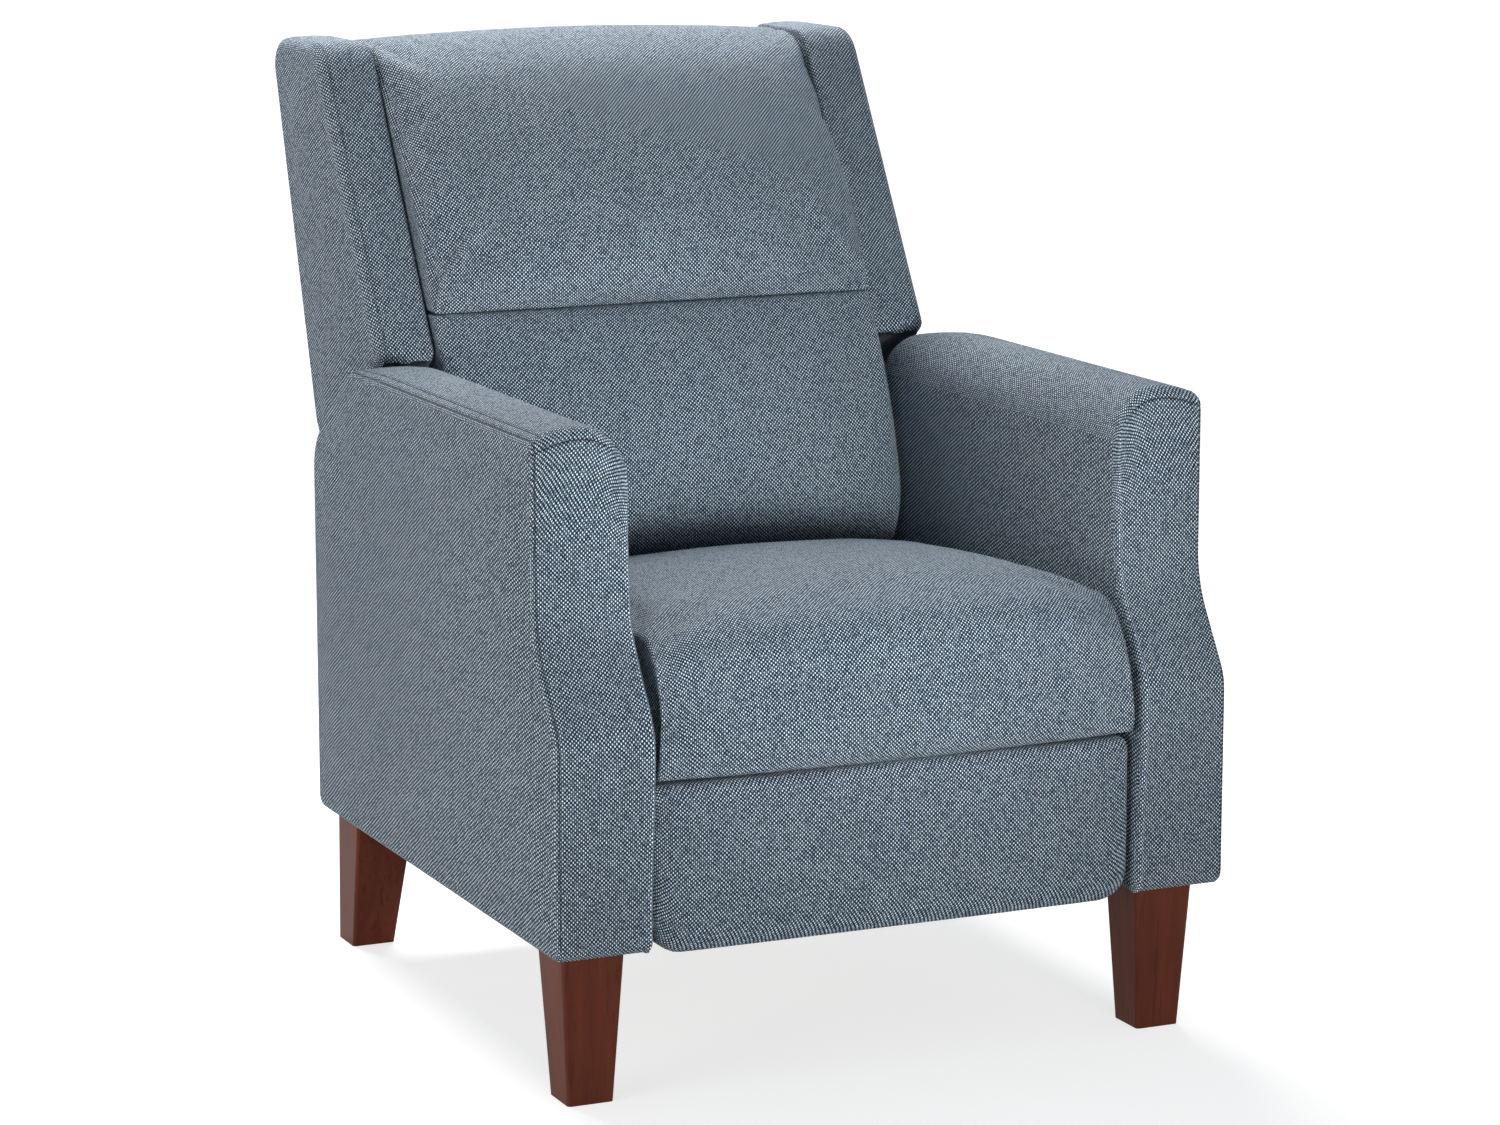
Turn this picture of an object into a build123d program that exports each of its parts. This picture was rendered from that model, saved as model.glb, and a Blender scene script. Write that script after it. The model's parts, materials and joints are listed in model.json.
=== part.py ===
from build123d import *
import math
import os

# A push-back recliner armchair: a base on four legs with padded arms, a seat that slides forward,
# a winged back that leans on the seat, and a footrest that unfolds on two scissor linkages.
# Sizes are in millimetres. +Z is up, z = 0 is the floor and the chair faces -Y.
# Left is the -X side, as seen by someone standing in front of the chair.
# Side outlines are drawn in (depth, height), with depth counted back from the lower front of the arms.

os.makedirs("parts", exist_ok=True)

# Whole chair
CHAIR_WIDTH = 730.0
ARM_HEIGHT = 651.0
WING_TOP = 976.0
LEG_HEIGHT = 155.0

# Arm outline
ARM_THICKNESS = 101.0
ARM_DEPTH = 701.0
ARM_BELLY_TOP = 372.0
ARM_NECK_HEIGHT = 462.0
ARM_NECK_DEPTH = 57.0
ARM_SLOPE_LENGTH = 118.0
ARM_SLOPE_DROP = 92.0
ARM_BELLY_ROUND = 50.0
ARM_NECK_ROUND = 110.0
ARM_FRONT_TOP_ROUND = 12.0
ARM_SLOPE_TOP_ROUND = 45.0
ARM_SLOPE_FOOT_ROUND = 60.0
ARM_BOTTOM_ROUND = 14.0
ARM_INNER_ROUND = 40.0
ARM_OUTER_ROUND = 9.0
ARM_PADDING = 14.0
ARM_RAIL = 45.0
ARM_SKIN = 12.0
COVER = 3.0

# Legs
LEG_FOOT = 48.0
LEG_HEAD = 66.0
LEG_EDGE_ROUND = 4.0
FRONT_LEG_DEPTH = 66.0
REAR_LEG_INSET = 48.0
REAR_LEG_RAKE = 39.0
LEG_BOLT = 8.0
LEG_BOLT_GRIP = 38.0
LEG_BOLT_RISE = 42.0

# Fits
SEAT_FIT = 0.2
RUNNING_FIT = 0.08
LAYER_GAP = 1.0
PLATE = 3.0

# Base frame
RAIL_THICKNESS = 21.0
RAIL_HEIGHT = 72.0
RAIL_LIFT = 5.0
RAIL_FRONT_DEPTH = 75.0
STRETCHER_DEPTH = 150.0
STRETCHER_THICKNESS = 22.0
STRETCHER_HEIGHT = 62.0
REAR_STRETCHER_GAP = 6.0
REAR_STRETCHER_HEIGHT = 45.0
REAR_PANEL = 8.0
REAR_PANEL_TOP = 276.0
REAR_PANEL_LIFT = 2.0
PANEL_SIDE_GAP = 0.5

# Recline and seat travel
RECLINE = 35.0
SEAT_TRAVEL = 80.0
SEAT_CLIMB = 5.0

# Mechanism plates and rollers
BASE_PLATE_FRONT = 128.0
BASE_PLATE_REAR_INSET = 29.0
BASE_PLATE_BOTTOM = 172.0
ROLLER_DROP = 33.0
ROLLER_RISE = 26.0
FRONT_ROLLER_DEPTH = 222.0
REAR_ROLLER_INSET = 141.0
ROLLER = 12.0
ROLLER_HEAD = 20.0
ROLLER_HEAD_THICKNESS = 3.0
SLOT_END_ROOM = 1.5
SCREW = 5.0
SCREW_HEAD = 9.0
SCREW_HEAD_HEIGHT = 1.6
SCREW_GRIP = 15.0

# Back pivot, its guide and its push arm
PIVOT_INSET = 11.0
PIVOT_DROP = 25.0
PIVOT_BOLT = 12.0
PIVOT_HEAD = 22.0
PIVOT_HEAD_THICKNESS = 5.0
PIVOT_EYE = 32.0
GUIDE_PIN = 10.0
GUIDE_ROOM = 0.5
GUIDE_WIDTH = 26.0
GUIDE_FOOT_HEIGHT = 244.0
GUIDE_TOP_ROOM = 12.0
GUIDE_SLOT_RISE = 10.2
PUSH_ARM = 70.0
PUSH_ARM_ANGLE = 20.0
PUSH_PIN = 8.0
PUSH_EYE = 24.0
PUSH_ROD_ROOM = 0.6
PUSH_SLOT_ROOM = 2.6
BRACKET_WIDTH = 26.0
BRACKET_REACH = 255.0
BRACKET_LEAN = 19.0

# Footrest scissor linkage
LINK_HALF = 73.5
LINK_WIDTH = 15.0
LINK_PIN = 8.0
DRIVE_PIN = 10.0
SLIDE_PIN = 10.0
FOLDED_ANGLE = 84.0
OPEN_ANGLE = 10.0
AXIS_TILT = -6.0
DRIVE_DROP = 13.0
CRANK_RADIUS = 30.21
CRANK_OFFSET = 15.37
CRANK_BOSS = 18.0
TORQUE_TUBE = 13.0
BRACKET_STANDOFF = 16.0
BRACKET_FLANGE = 32.0

# Footrest panel
FOOTREST_FRONT = 6.0
FOOTREST_FOAM = 38.0
FOOTREST_BOARD = 12.0
FOOTREST_SEAT_GAP = 11.0
FOOTREST_LIFT = 1.0
FOOTREST_SIDE_GAP = 4.0
FOOTREST_RIM = 14.0
FOOTREST_CROWN = 6.0
FOOTREST_CORNER = 24.0
FOOTREST_TOP_CORNER = 8.0

# Seat
SEAT_OVERHANG = 12.0
SEAT_SIDE_GAP = 3.0
SEAT_BOTTOM = 325.0
SEAT_REAR_INSET = 121.0
SEAT_FRONT_RISE = 137.0
SEAT_REAR_RISE = 99.0
SEAT_FRONT_CROWN = 16.0
SEAT_REAR_CROWN = 8.0
SEAT_NOSE_ROUND = 42.0
SEAT_LOWER_ROUND = 10.0
SEAT_TOP_BOW = 5.0
SEAT_DRAW_IN = 8.0
SEAT_WALL = 23.0
SEAT_FRONT_WALL = 26.0
SEAT_REAR_WALL = 20.0
SEAT_RAIL = 22.0
SEAT_RAIL_HEIGHT = 55.0
SEAT_FLANGE = 33.0
WEBBING = 2.5
WEBBING_WIDTH = 50.0
SEAT_STRAPS = 6
DUST_COVER = 1.0
BACK_STRAPS = 5

# Back
BACK_OVERHANG = 245.0
BACK_LEAN = 17.8
WING_INSET = 41.0
WING_THICKNESS = 66.0
WING_FOOT_INSET = 101.0
WING_FOOT_LIFT = 6.0
WING_FRONT_LEAN = 30.7
WING_TAIL_CLEARANCE = 22.0
WING_TAIL_STEP = 10.0
WING_TAIL_BOTTOM = 535.0
WING_FOOT_ROUND = 14.0
WING_TOP_ROUND = 45.0
WING_REAR_ROUND = 30.0
WING_TAIL_ROUND = 45.0
WING_TAIL_FRONT_ROUND = 14.0
WING_EDGE_ROUND = 10.0
BACK_SIDE_GAP = 2.0
OUTSIDE_BACK = 14.0
OUTSIDE_BACK_BOTTOM = 360.0
OUTSIDE_BACK_FLAP = 400.0
OUTSIDE_BACK_FLAP_BOTTOM = 302.0
OUTSIDE_BACK_RETURN = 6.0
OUTSIDE_BACK_RETURN_DEPTH = 62.0
POST_THICKNESS = 23.0
POST_BOTTOM = 475.0
FRAME_TOP = 955.0
BACK_RAIL = 22.0
TOP_RAIL_HEIGHT = 65.0
LOWER_RAIL_BOTTOM = 332.0
LOWER_RAIL_HEIGHT = 62.0

# Back cushions
CUSHION_BACK_INSET = 92.0
CUSHION_BACK_LEAN = 26.9
SEAM_HEIGHT = 700.0
SEAM_INSET = 100.0
SEAM_CHANNEL = 22.0
SEAM_ROUND = 14.0
LUMBAR_SEAT_GAP = 2.0
LUMBAR_INSET = 183.0
LUMBAR_FRONT_RISE = 64.0
LUMBAR_TUCK = 16.0
LUMBAR_BOW = 13.0
LUMBAR_CROWN = 20.0
HEAD_SHOULDER_REACH = 64.0
HEAD_SHOULDER_HEIGHT = 945.0
HEAD_BOW = 14.0
HEAD_CROWN = 26.0
HEAD_TOP = 974.0
HEAD_TOP_CROWN = 12.0
HEAD_TOP_REACH = 149.0
HEAD_REAR_DROP = 6.0
CUSHION_STATIONS = (-1.0, -0.72, 0.0, 0.72, 1.0)

SIDES = (("left", -1), ("right", 1))
ENDS = (("front", FRONT_LEG_DEPTH, 0.0), ("rear", ARM_DEPTH - REAR_LEG_INSET, REAR_LEG_RAKE))

# Layers across the chair, as distances from its middle plane
ARM_INNER = CHAIR_WIDTH / 2 - ARM_THICKNESS
RAIL_INNER = ARM_INNER - RAIL_THICKNESS
BASE_PLATE_INNER = RAIL_INNER - PLATE
SEAT_PLATE_INNER = BASE_PLATE_INNER - LAYER_GAP - PLATE
LAYER_PITCH = PLATE + LAYER_GAP
CROSS_LAYER = SEAT_PLATE_INNER - LAYER_PITCH
DRIVE_LAYER = CROSS_LAYER - LAYER_PITCH
OUTER_LAYER = DRIVE_LAYER - LAYER_PITCH
FOOTREST_LAYER = OUTER_LAYER - LAYER_PITCH
ROD_LAYER = FOOTREST_LAYER - LAYER_PITCH
WING_INNER = CHAIR_WIDTH / 2 - WING_INSET - WING_THICKNESS
POST_INNER = WING_INNER - POST_THICKNESS
BACK_HALF_WIDTH = WING_INNER - BACK_SIDE_GAP
SEAT_HALF_WIDTH = ARM_INNER - SEAT_SIDE_GAP
FOOTREST_HALF_WIDTH = ARM_INNER - FOOTREST_SIDE_GAP
FRAME_HALF_WIDTH = SEAT_HALF_WIDTH - SEAT_WALL

# Heights that follow the seat
SEAT_FRONT_TOP = SEAT_BOTTOM + SEAT_FRONT_RISE
SEAT_REAR_TOP = SEAT_BOTTOM + SEAT_REAR_RISE
LUMBAR_FRONT_HEIGHT = SEAT_REAR_TOP + LUMBAR_FRONT_RISE
FOOTREST_TOP = SEAT_BOTTOM - FOOTREST_SEAT_GAP
FOOTREST_BOTTOM = LEG_HEIGHT + FOOTREST_LIFT
DRIVE_HEIGHT = SEAT_BOTTOM - DRIVE_DROP
PIVOT_HEIGHT = SEAT_BOTTOM - PIVOT_DROP
ROLLER_HEIGHT = SEAT_BOTTOM - ROLLER_DROP

# Depths that follow the arms
SEAT_REAR = ARM_DEPTH - SEAT_REAR_INSET
REAR_ROLLER_DEPTH = ARM_DEPTH - REAR_ROLLER_INSET
CUSHION_BACK_DEPTH = ARM_DEPTH - CUSHION_BACK_INSET
SEAM_DEPTH = ARM_DEPTH - SEAM_INSET
LUMBAR_FRONT = ARM_DEPTH - LUMBAR_INSET
HEAD_SHOULDER_DEPTH = ARM_DEPTH + HEAD_SHOULDER_REACH
HEAD_TOP_DEPTH = ARM_DEPTH + HEAD_TOP_REACH

# Depth of the rearmost point, on the wings' rounded corner or the outside back, and of the middle
BACK_TOP_DEPTH = ARM_DEPTH + BACK_OVERHANG
LEAN_TAN = math.tan(math.radians(BACK_LEAN))
LEAN_COS = math.cos(math.radians(BACK_LEAN))
WING_REACH = BACK_TOP_DEPTH - WING_REAR_ROUND * (LEAN_TAN + 1 / LEAN_COS - 1)
PANEL_REACH = BACK_TOP_DEPTH - (WING_TOP - FRAME_TOP) * LEAN_TAN
REAR_REACH = max(WING_REACH, PANEL_REACH)
MIDDLE_DEPTH = (REAR_REACH - SEAT_OVERHANG) / 2


def at(depth, height):
    """A point of a side outline, as (y, z)."""
    return (depth - MIDDLE_DEPTH, height)


def along(start, angle, length):
    """The (y, z) point at a length from start, where angle 0 is forward and 90 is up."""
    turn = math.radians(angle)
    return (start[0] - length * math.cos(turn), start[1] + length * math.sin(turn))


def back_rear(height):
    """Depth of the back's rear face."""
    return BACK_TOP_DEPTH - (WING_TOP - height) * LEAN_TAN


def wing_front(height):
    """Depth of the wings' front edge."""
    lean = math.tan(math.radians(WING_FRONT_LEAN))
    return ARM_DEPTH - WING_FOOT_INSET + (height - ARM_HEIGHT - WING_FOOT_LIFT) * lean


def cushion_back(height):
    """Depth of the plane that the back cushions lean on."""
    return CUSHION_BACK_DEPTH + (height - SEAT_FRONT_TOP) * math.tan(math.radians(CUSHION_BACK_LEAN))


def seat_top(depth, share):
    """Height of the seat's top, where share runs from 0 at its sides to 1 in the middle."""
    front_top = SEAT_FRONT_TOP + SEAT_FRONT_CROWN * share
    rear_top = SEAT_REAR_TOP + SEAT_REAR_CROWN * share
    run = (SEAT_REAR - depth) / (SEAT_REAR - SEAT_NOSE_ROUND + SEAT_OVERHANG)
    return rear_top + (front_top - rear_top) * run + 4 * SEAT_TOP_BOW * run * (1 - run)


def middle(first, second, bow=0.0):
    """The point halfway between two, pushed forward by bow."""
    return ((first[0] + second[0]) / 2 - bow, (first[1] + second[1]) / 2)


def corner_middle(centre, radius, forward, up):
    """The middle point of a quarter round."""
    reach = radius * math.sqrt(0.5)
    return (centre[0] - forward * reach, centre[1] + up * reach)


def side_plane(side, inner, thickness):
    """The plane from which a layer of this thickness is extruded towards +X."""
    return Plane.YZ.offset(inner if side > 0 else -inner - thickness)


def span_block(x_span, depth_span, z_span, mode=Mode.ADD):
    """A block between two distances along each axis, added to the part in hand."""
    y_span = [depth - MIDDLE_DEPTH for depth in depth_span]
    spans = (x_span, y_span, z_span)
    with Locations(tuple(sum(span) / 2 for span in spans)):
        Box(*[span[1] - span[0] for span in spans], mode=mode)


def mirrored_span(side, inner, outer):
    """A span across the chair on one side of its middle plane."""
    return (inner, outer) if side > 0 else (-outer, -inner)


def bar(start, end, width, mode=Mode.ADD):
    """A round-ended bar between two points, added to the sketch in hand."""
    length = math.hypot(end[0] - start[0], end[1] - start[1])
    angle = math.degrees(math.atan2(end[1] - start[1], end[0] - start[0]))
    with Locations(middle(start, end)):
        SlotCenterToCenter(length, width, rotation=angle, mode=mode)


def round_holes(points, diameter):
    """Round holes at points of the sketch in hand."""
    with Locations(*points):
        Circle(diameter / 2, mode=Mode.SUBTRACT)


def lean_strip(low, high, setback, thickness):
    """Corners of a board that stands parallel to the back's rear face, at a setback from it."""
    near = setback / LEAN_COS
    far = (setback + thickness) / LEAN_COS
    return (
        at(back_rear(low) - near, low),
        at(back_rear(high) - near, high),
        at(back_rear(high) - far, high),
        at(back_rear(low) - far, low),
    )


def keep(part, label):
    """Name a finished piece and write it."""
    part.label = label
    export_step(part, f"parts/{label}.step")


def make_screw(side, inner, points, grip, inward):
    """Screws at (y, z) points, with heads on the face at inner and shanks across the chair from it."""
    toward = -1 if inward else 1
    face = side * inner
    with BuildPart() as screws:
        with BuildSketch(Plane.YZ.offset(face)):
            with Locations(*points):
                Circle(SCREW / 2)
        extrude(amount=side * toward * grip)
        with BuildSketch(Plane.YZ.offset(face)):
            with Locations(*points):
                Circle(SCREW_HEAD / 2)
        extrude(amount=-side * toward * SCREW_HEAD_HEIGHT)
    return screws.part


def drill_plane(side, inner, grip, inward):
    """The plane from which a screw hole is cut towards +X, for a screw made by make_screw."""
    return side_plane(side, inner - grip if inward else inner, grip)


# Linkage points at rest
PIVOT = at(ARM_DEPTH - PIVOT_INSET, PIVOT_HEIGHT)
GUIDE_RADIUS = SEAT_TRAVEL * math.cos(math.radians(SEAT_CLIMB)) / (2 * math.sin(math.radians(RECLINE / 2)))
GUIDE_POINT = along(PIVOT, 90 - RECLINE / 2, GUIDE_RADIUS)
PUSH_POINT = along(PIVOT, PUSH_ARM_ANGLE - 90, PUSH_ARM)
BRACKET_END = along(PIVOT, 90 + BRACKET_LEAN, BRACKET_REACH)
FOOTREST_BACK = FOOTREST_FRONT + FOOTREST_FOAM + FOOTREST_BOARD
DRIVE_ANGLE = AXIS_TILT - FOLDED_ANGLE
CROSS_ANGLE = AXIS_TILT + FOLDED_ANGLE
CROSS_DEPTH = FOOTREST_BACK + PLATE + BRACKET_STANDOFF
AXIS_REACH = 2 * LINK_HALF * math.cos(math.radians(FOLDED_ANGLE))
DRIVE_POINT = along(at(CROSS_DEPTH, DRIVE_HEIGHT), 180, AXIS_REACH * math.cos(math.radians(AXIS_TILT)))
FIRST_CROSSING = along(DRIVE_POINT, DRIVE_ANGLE, LINK_HALF)
DRIVE_TIP = along(DRIVE_POINT, DRIVE_ANGLE, 2 * LINK_HALF)
CROSS_FOOT = along(FIRST_CROSSING, CROSS_ANGLE, -LINK_HALF)
CROSS_TIP = along(FIRST_CROSSING, CROSS_ANGLE, LINK_HALF)
SECOND_CROSSING = along(CROSS_TIP, DRIVE_ANGLE, LINK_HALF)
BRACKET_TIP = along(CROSS_TIP, DRIVE_ANGLE, 2 * LINK_HALF)
SLIDE_END = along(DRIVE_POINT, AXIS_TILT - 90, 2 * LINK_HALF * math.sin(math.radians(OPEN_ANGLE)))
CRANK_POINT = along(DRIVE_POINT, DRIVE_ANGLE - CRANK_OFFSET, CRANK_RADIUS)

# Arms: a padded cover over a boarded frame
ARM_OUTLINE = (
    at(0, LEG_HEIGHT),
    at(0, ARM_BELLY_TOP),
    at(ARM_NECK_DEPTH, ARM_NECK_HEIGHT),
    at(ARM_NECK_DEPTH, ARM_HEIGHT),
    at(ARM_DEPTH - ARM_SLOPE_LENGTH, ARM_HEIGHT),
    at(ARM_DEPTH, ARM_HEIGHT - ARM_SLOPE_DROP),
    at(ARM_DEPTH, LEG_HEIGHT),
)
ARM_ROUNDS = (
    ARM_BOTTOM_ROUND,
    ARM_BELLY_ROUND,
    ARM_NECK_ROUND,
    ARM_FRONT_TOP_ROUND,
    ARM_SLOPE_TOP_ROUND,
    ARM_SLOPE_FOOT_ROUND,
    ARM_BOTTOM_ROUND,
)
ARM_CORE = ARM_THICKNESS - 2 * ARM_PADDING
ARM_CORE_INNER = ARM_INNER + ARM_PADDING
ARM_MIDDLE = ARM_INNER + ARM_THICKNESS / 2
CORE_BOTTOM = LEG_HEIGHT + COVER


def arm_core_outline(inset):
    """Outline of the arm's core in the sketch in hand, reaching down to the cover's floor."""
    with BuildLine() as outline:
        FilletPolyline(*ARM_OUTLINE, radius=ARM_ROUNDS, close=True)
    make_face(outline.edges())
    offset(amount=-inset)
    depth_span = (inset, ARM_DEPTH - inset)
    low = CORE_BOTTOM + inset - ARM_PADDING
    high = LEG_HEIGHT + 2 * ARM_RAIL
    with Locations(at(sum(depth_span) / 2, (low + high) / 2)):
        Rectangle(depth_span[1] - depth_span[0], high - low)


for name, side in SIDES:
    bolt_points = [(side * ARM_MIDDLE, depth - MIDDLE_DEPTH) for end, depth, rake in ENDS]

    with BuildPart() as arm_cover:
        with BuildSketch(side_plane(side, ARM_INNER, ARM_THICKNESS)):
            with BuildLine():
                FilletPolyline(*ARM_OUTLINE, radius=ARM_ROUNDS, close=True)
            make_face()
        extrude(amount=ARM_THICKNESS)
        with BuildSketch(Plane.XZ):
            with BuildLine():
                FilletPolyline(
                    (side * ARM_INNER, LEG_HEIGHT),
                    (side * ARM_INNER, ARM_HEIGHT),
                    (side * CHAIR_WIDTH / 2, ARM_HEIGHT),
                    (side * CHAIR_WIDTH / 2, LEG_HEIGHT),
                    radius=(ARM_OUTER_ROUND, ARM_INNER_ROUND, ARM_OUTER_ROUND, ARM_OUTER_ROUND),
                    close=True,
                )
            make_face()
        extrude(amount=ARM_DEPTH, both=True, mode=Mode.INTERSECT)
        with BuildSketch(side_plane(side, ARM_CORE_INNER, ARM_CORE)):
            arm_core_outline(ARM_PADDING)
        extrude(amount=ARM_CORE, mode=Mode.SUBTRACT)
        with BuildSketch(Plane.XY.offset(LEG_HEIGHT)):
            with Locations(*bolt_points):
                Circle(LEG_BOLT / 2 + SEAT_FIT)
        extrude(amount=COVER, mode=Mode.SUBTRACT)
    keep(arm_cover.part, f"{name}_arm_cover")

    with BuildPart() as arm_frame:
        core = ARM_CORE - 2 * SEAT_FIT
        with BuildSketch(side_plane(side, ARM_CORE_INNER + SEAT_FIT, core)):
            arm_core_outline(ARM_PADDING + SEAT_FIT)
        extrude(amount=core)
        pocket = core - ARM_SKIN
        with BuildSketch(side_plane(side, ARM_CORE_INNER + SEAT_FIT, pocket)):
            with BuildLine():
                FilletPolyline(*ARM_OUTLINE, radius=ARM_ROUNDS, close=True)
            make_face()
            offset(amount=-ARM_PADDING - ARM_RAIL)
        extrude(amount=pocket, mode=Mode.SUBTRACT)
        with BuildSketch(Plane.XY.offset(LEG_HEIGHT)):
            with Locations(*bolt_points):
                Circle(LEG_BOLT / 2 + SEAT_FIT)
        extrude(amount=LEG_BOLT_RISE + SEAT_FIT, mode=Mode.SUBTRACT)
    keep(arm_frame.part, f"{name}_arm_frame")

# Legs, raked at the rear, and the hanger bolts that hold them to the arm frames
for name, side in SIDES:
    for end, depth, rake in ENDS:
        head_point = (side * ARM_MIDDLE, depth - MIDDLE_DEPTH)
        foot_point = (side * ARM_MIDDLE, depth + rake - MIDDLE_DEPTH)
        with BuildPart() as leg:
            with BuildSketch(Plane.XY):
                with Locations(foot_point):
                    RectangleRounded(LEG_FOOT, LEG_FOOT, LEG_EDGE_ROUND)
            with BuildSketch(Plane.XY.offset(LEG_HEIGHT)):
                with Locations(head_point):
                    RectangleRounded(LEG_HEAD, LEG_HEAD, LEG_EDGE_ROUND)
            loft()
            with BuildSketch(Plane.XY.offset(LEG_HEIGHT - LEG_BOLT_GRIP - SEAT_FIT)):
                with Locations(head_point):
                    Circle(LEG_BOLT / 2 + SEAT_FIT)
            extrude(amount=LEG_BOLT_GRIP + SEAT_FIT, mode=Mode.SUBTRACT)
        keep(leg.part, f"{end}_{name}_leg")

with BuildPart() as leg_bolts:
    with BuildSketch(Plane.XY.offset(LEG_HEIGHT - LEG_BOLT_GRIP)):
        for name, side in SIDES:
            for end, depth, rake in ENDS:
                with Locations((side * ARM_MIDDLE, depth - MIDDLE_DEPTH)):
                    Circle(LEG_BOLT / 2)
    extrude(amount=LEG_BOLT_GRIP + LEG_BOLT_RISE)
keep(leg_bolts.part, "leg_bolts")

# Base frame between the arms
RAIL_BOTTOM = LEG_HEIGHT + RAIL_LIFT
RAIL_REAR_DEPTH = ARM_DEPTH - REAR_PANEL
BASE_PLATE_REAR = ARM_DEPTH - BASE_PLATE_REAR_INSET
BASE_PLATE_TOP = ROLLER_HEIGHT + ROLLER_RISE
PLATE_SCREW_HEIGHT = (BASE_PLATE_BOTTOM + RAIL_BOTTOM + RAIL_HEIGHT) / 2
PLATE_SCREWS = [
    at(BASE_PLATE_FRONT + share * (BASE_PLATE_REAR - BASE_PLATE_FRONT), PLATE_SCREW_HEIGHT)
    for share in (0.12, 0.37, 0.63, 0.88)
]
GUIDE_SCREWS = [
    (GUIDE_POINT[0], GUIDE_FOOT_HEIGHT + share * (BASE_PLATE_TOP - GUIDE_FOOT_HEIGHT))
    for share in (0.25, 0.75)
]
ROLLERS = [at(FRONT_ROLLER_DEPTH, ROLLER_HEIGHT), at(REAR_ROLLER_DEPTH, ROLLER_HEIGHT)]

for name, side in SIDES:
    rail_span = mirrored_span(side, RAIL_INNER, ARM_INNER)

    with BuildPart() as base_rail:
        span_block(rail_span, (RAIL_FRONT_DEPTH, RAIL_REAR_DEPTH), (RAIL_BOTTOM, RAIL_BOTTOM + RAIL_HEIGHT))
        with BuildSketch(drill_plane(side, BASE_PLATE_INNER, SCREW_GRIP, False)):
            with Locations(*PLATE_SCREWS):
                Circle(SCREW / 2)
        extrude(amount=SCREW_GRIP, mode=Mode.SUBTRACT)
    keep(base_rail.part, f"{name}_base_rail")

    with BuildPart() as base_plate:
        with BuildSketch(side_plane(side, BASE_PLATE_INNER, PLATE)):
            with BuildLine():
                Polyline(
                    at(BASE_PLATE_FRONT, BASE_PLATE_BOTTOM),
                    at(BASE_PLATE_FRONT, BASE_PLATE_TOP),
                    at(BASE_PLATE_REAR, BASE_PLATE_TOP),
                    at(BASE_PLATE_REAR, BASE_PLATE_BOTTOM),
                    close=True,
                )
            make_face()
            for roller in ROLLERS:
                back_end = along(roller, SEAT_CLIMB, -SLOT_END_ROOM)
                front_end = along(roller, SEAT_CLIMB, SEAT_TRAVEL + SLOT_END_ROOM)
                bar(back_end, front_end, ROLLER + 2 * RUNNING_FIT, mode=Mode.SUBTRACT)
            round_holes(PLATE_SCREWS + GUIDE_SCREWS, SCREW)
        extrude(amount=PLATE)
    keep(base_plate.part, f"{name}_base_plate")

    with BuildPart() as back_guide:
        guide_top = GUIDE_POINT[1] + GUIDE_SLOT_RISE + GUIDE_TOP_ROOM
        with BuildSketch(side_plane(side, RAIL_INNER, PLATE)):
            with Locations((GUIDE_POINT[0], (GUIDE_FOOT_HEIGHT + guide_top) / 2)):
                Rectangle(GUIDE_WIDTH, guide_top - GUIDE_FOOT_HEIGHT)
            slot_low = (GUIDE_POINT[0], GUIDE_POINT[1] - SLOT_END_ROOM)
            slot_high = (GUIDE_POINT[0], GUIDE_POINT[1] + GUIDE_SLOT_RISE + SLOT_END_ROOM)
            bar(slot_low, slot_high, GUIDE_PIN + 2 * GUIDE_ROOM, mode=Mode.SUBTRACT)
            round_holes(GUIDE_SCREWS, SCREW)
        extrude(amount=PLATE)
    keep(back_guide.part, f"{name}_back_guide")

with BuildPart() as base_screws:
    for name, side in SIDES:
        add(make_screw(side, BASE_PLATE_INNER, PLATE_SCREWS, SCREW_GRIP, False))
        add(make_screw(side, RAIL_INNER + PLATE, GUIDE_SCREWS, 2 * PLATE, True))
keep(base_screws.part, "base_screws")

cross_span = (-BASE_PLATE_INNER, BASE_PLATE_INNER)
with BuildPart() as front_stretcher:
    stretcher_span = (STRETCHER_DEPTH, STRETCHER_DEPTH + STRETCHER_THICKNESS)
    span_block(cross_span, stretcher_span, (RAIL_BOTTOM, RAIL_BOTTOM + STRETCHER_HEIGHT))
keep(front_stretcher.part, "front_stretcher")

with BuildPart() as rear_stretcher:
    rear_end = min(BASE_PLATE_REAR, RAIL_REAR_DEPTH - REAR_STRETCHER_GAP)
    rear_span = (rear_end - STRETCHER_THICKNESS, rear_end)
    span_block(cross_span, rear_span, (RAIL_BOTTOM, RAIL_BOTTOM + REAR_STRETCHER_HEIGHT))
keep(rear_stretcher.part, "rear_stretcher")

with BuildPart() as rear_base_panel:
    panel_half = ARM_INNER - PANEL_SIDE_GAP
    span_block(
        (-panel_half, panel_half),
        (RAIL_REAR_DEPTH, ARM_DEPTH),
        (LEG_HEIGHT + REAR_PANEL_LIFT, REAR_PANEL_TOP),
    )
keep(rear_base_panel.part, "rear_base_panel")

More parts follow.
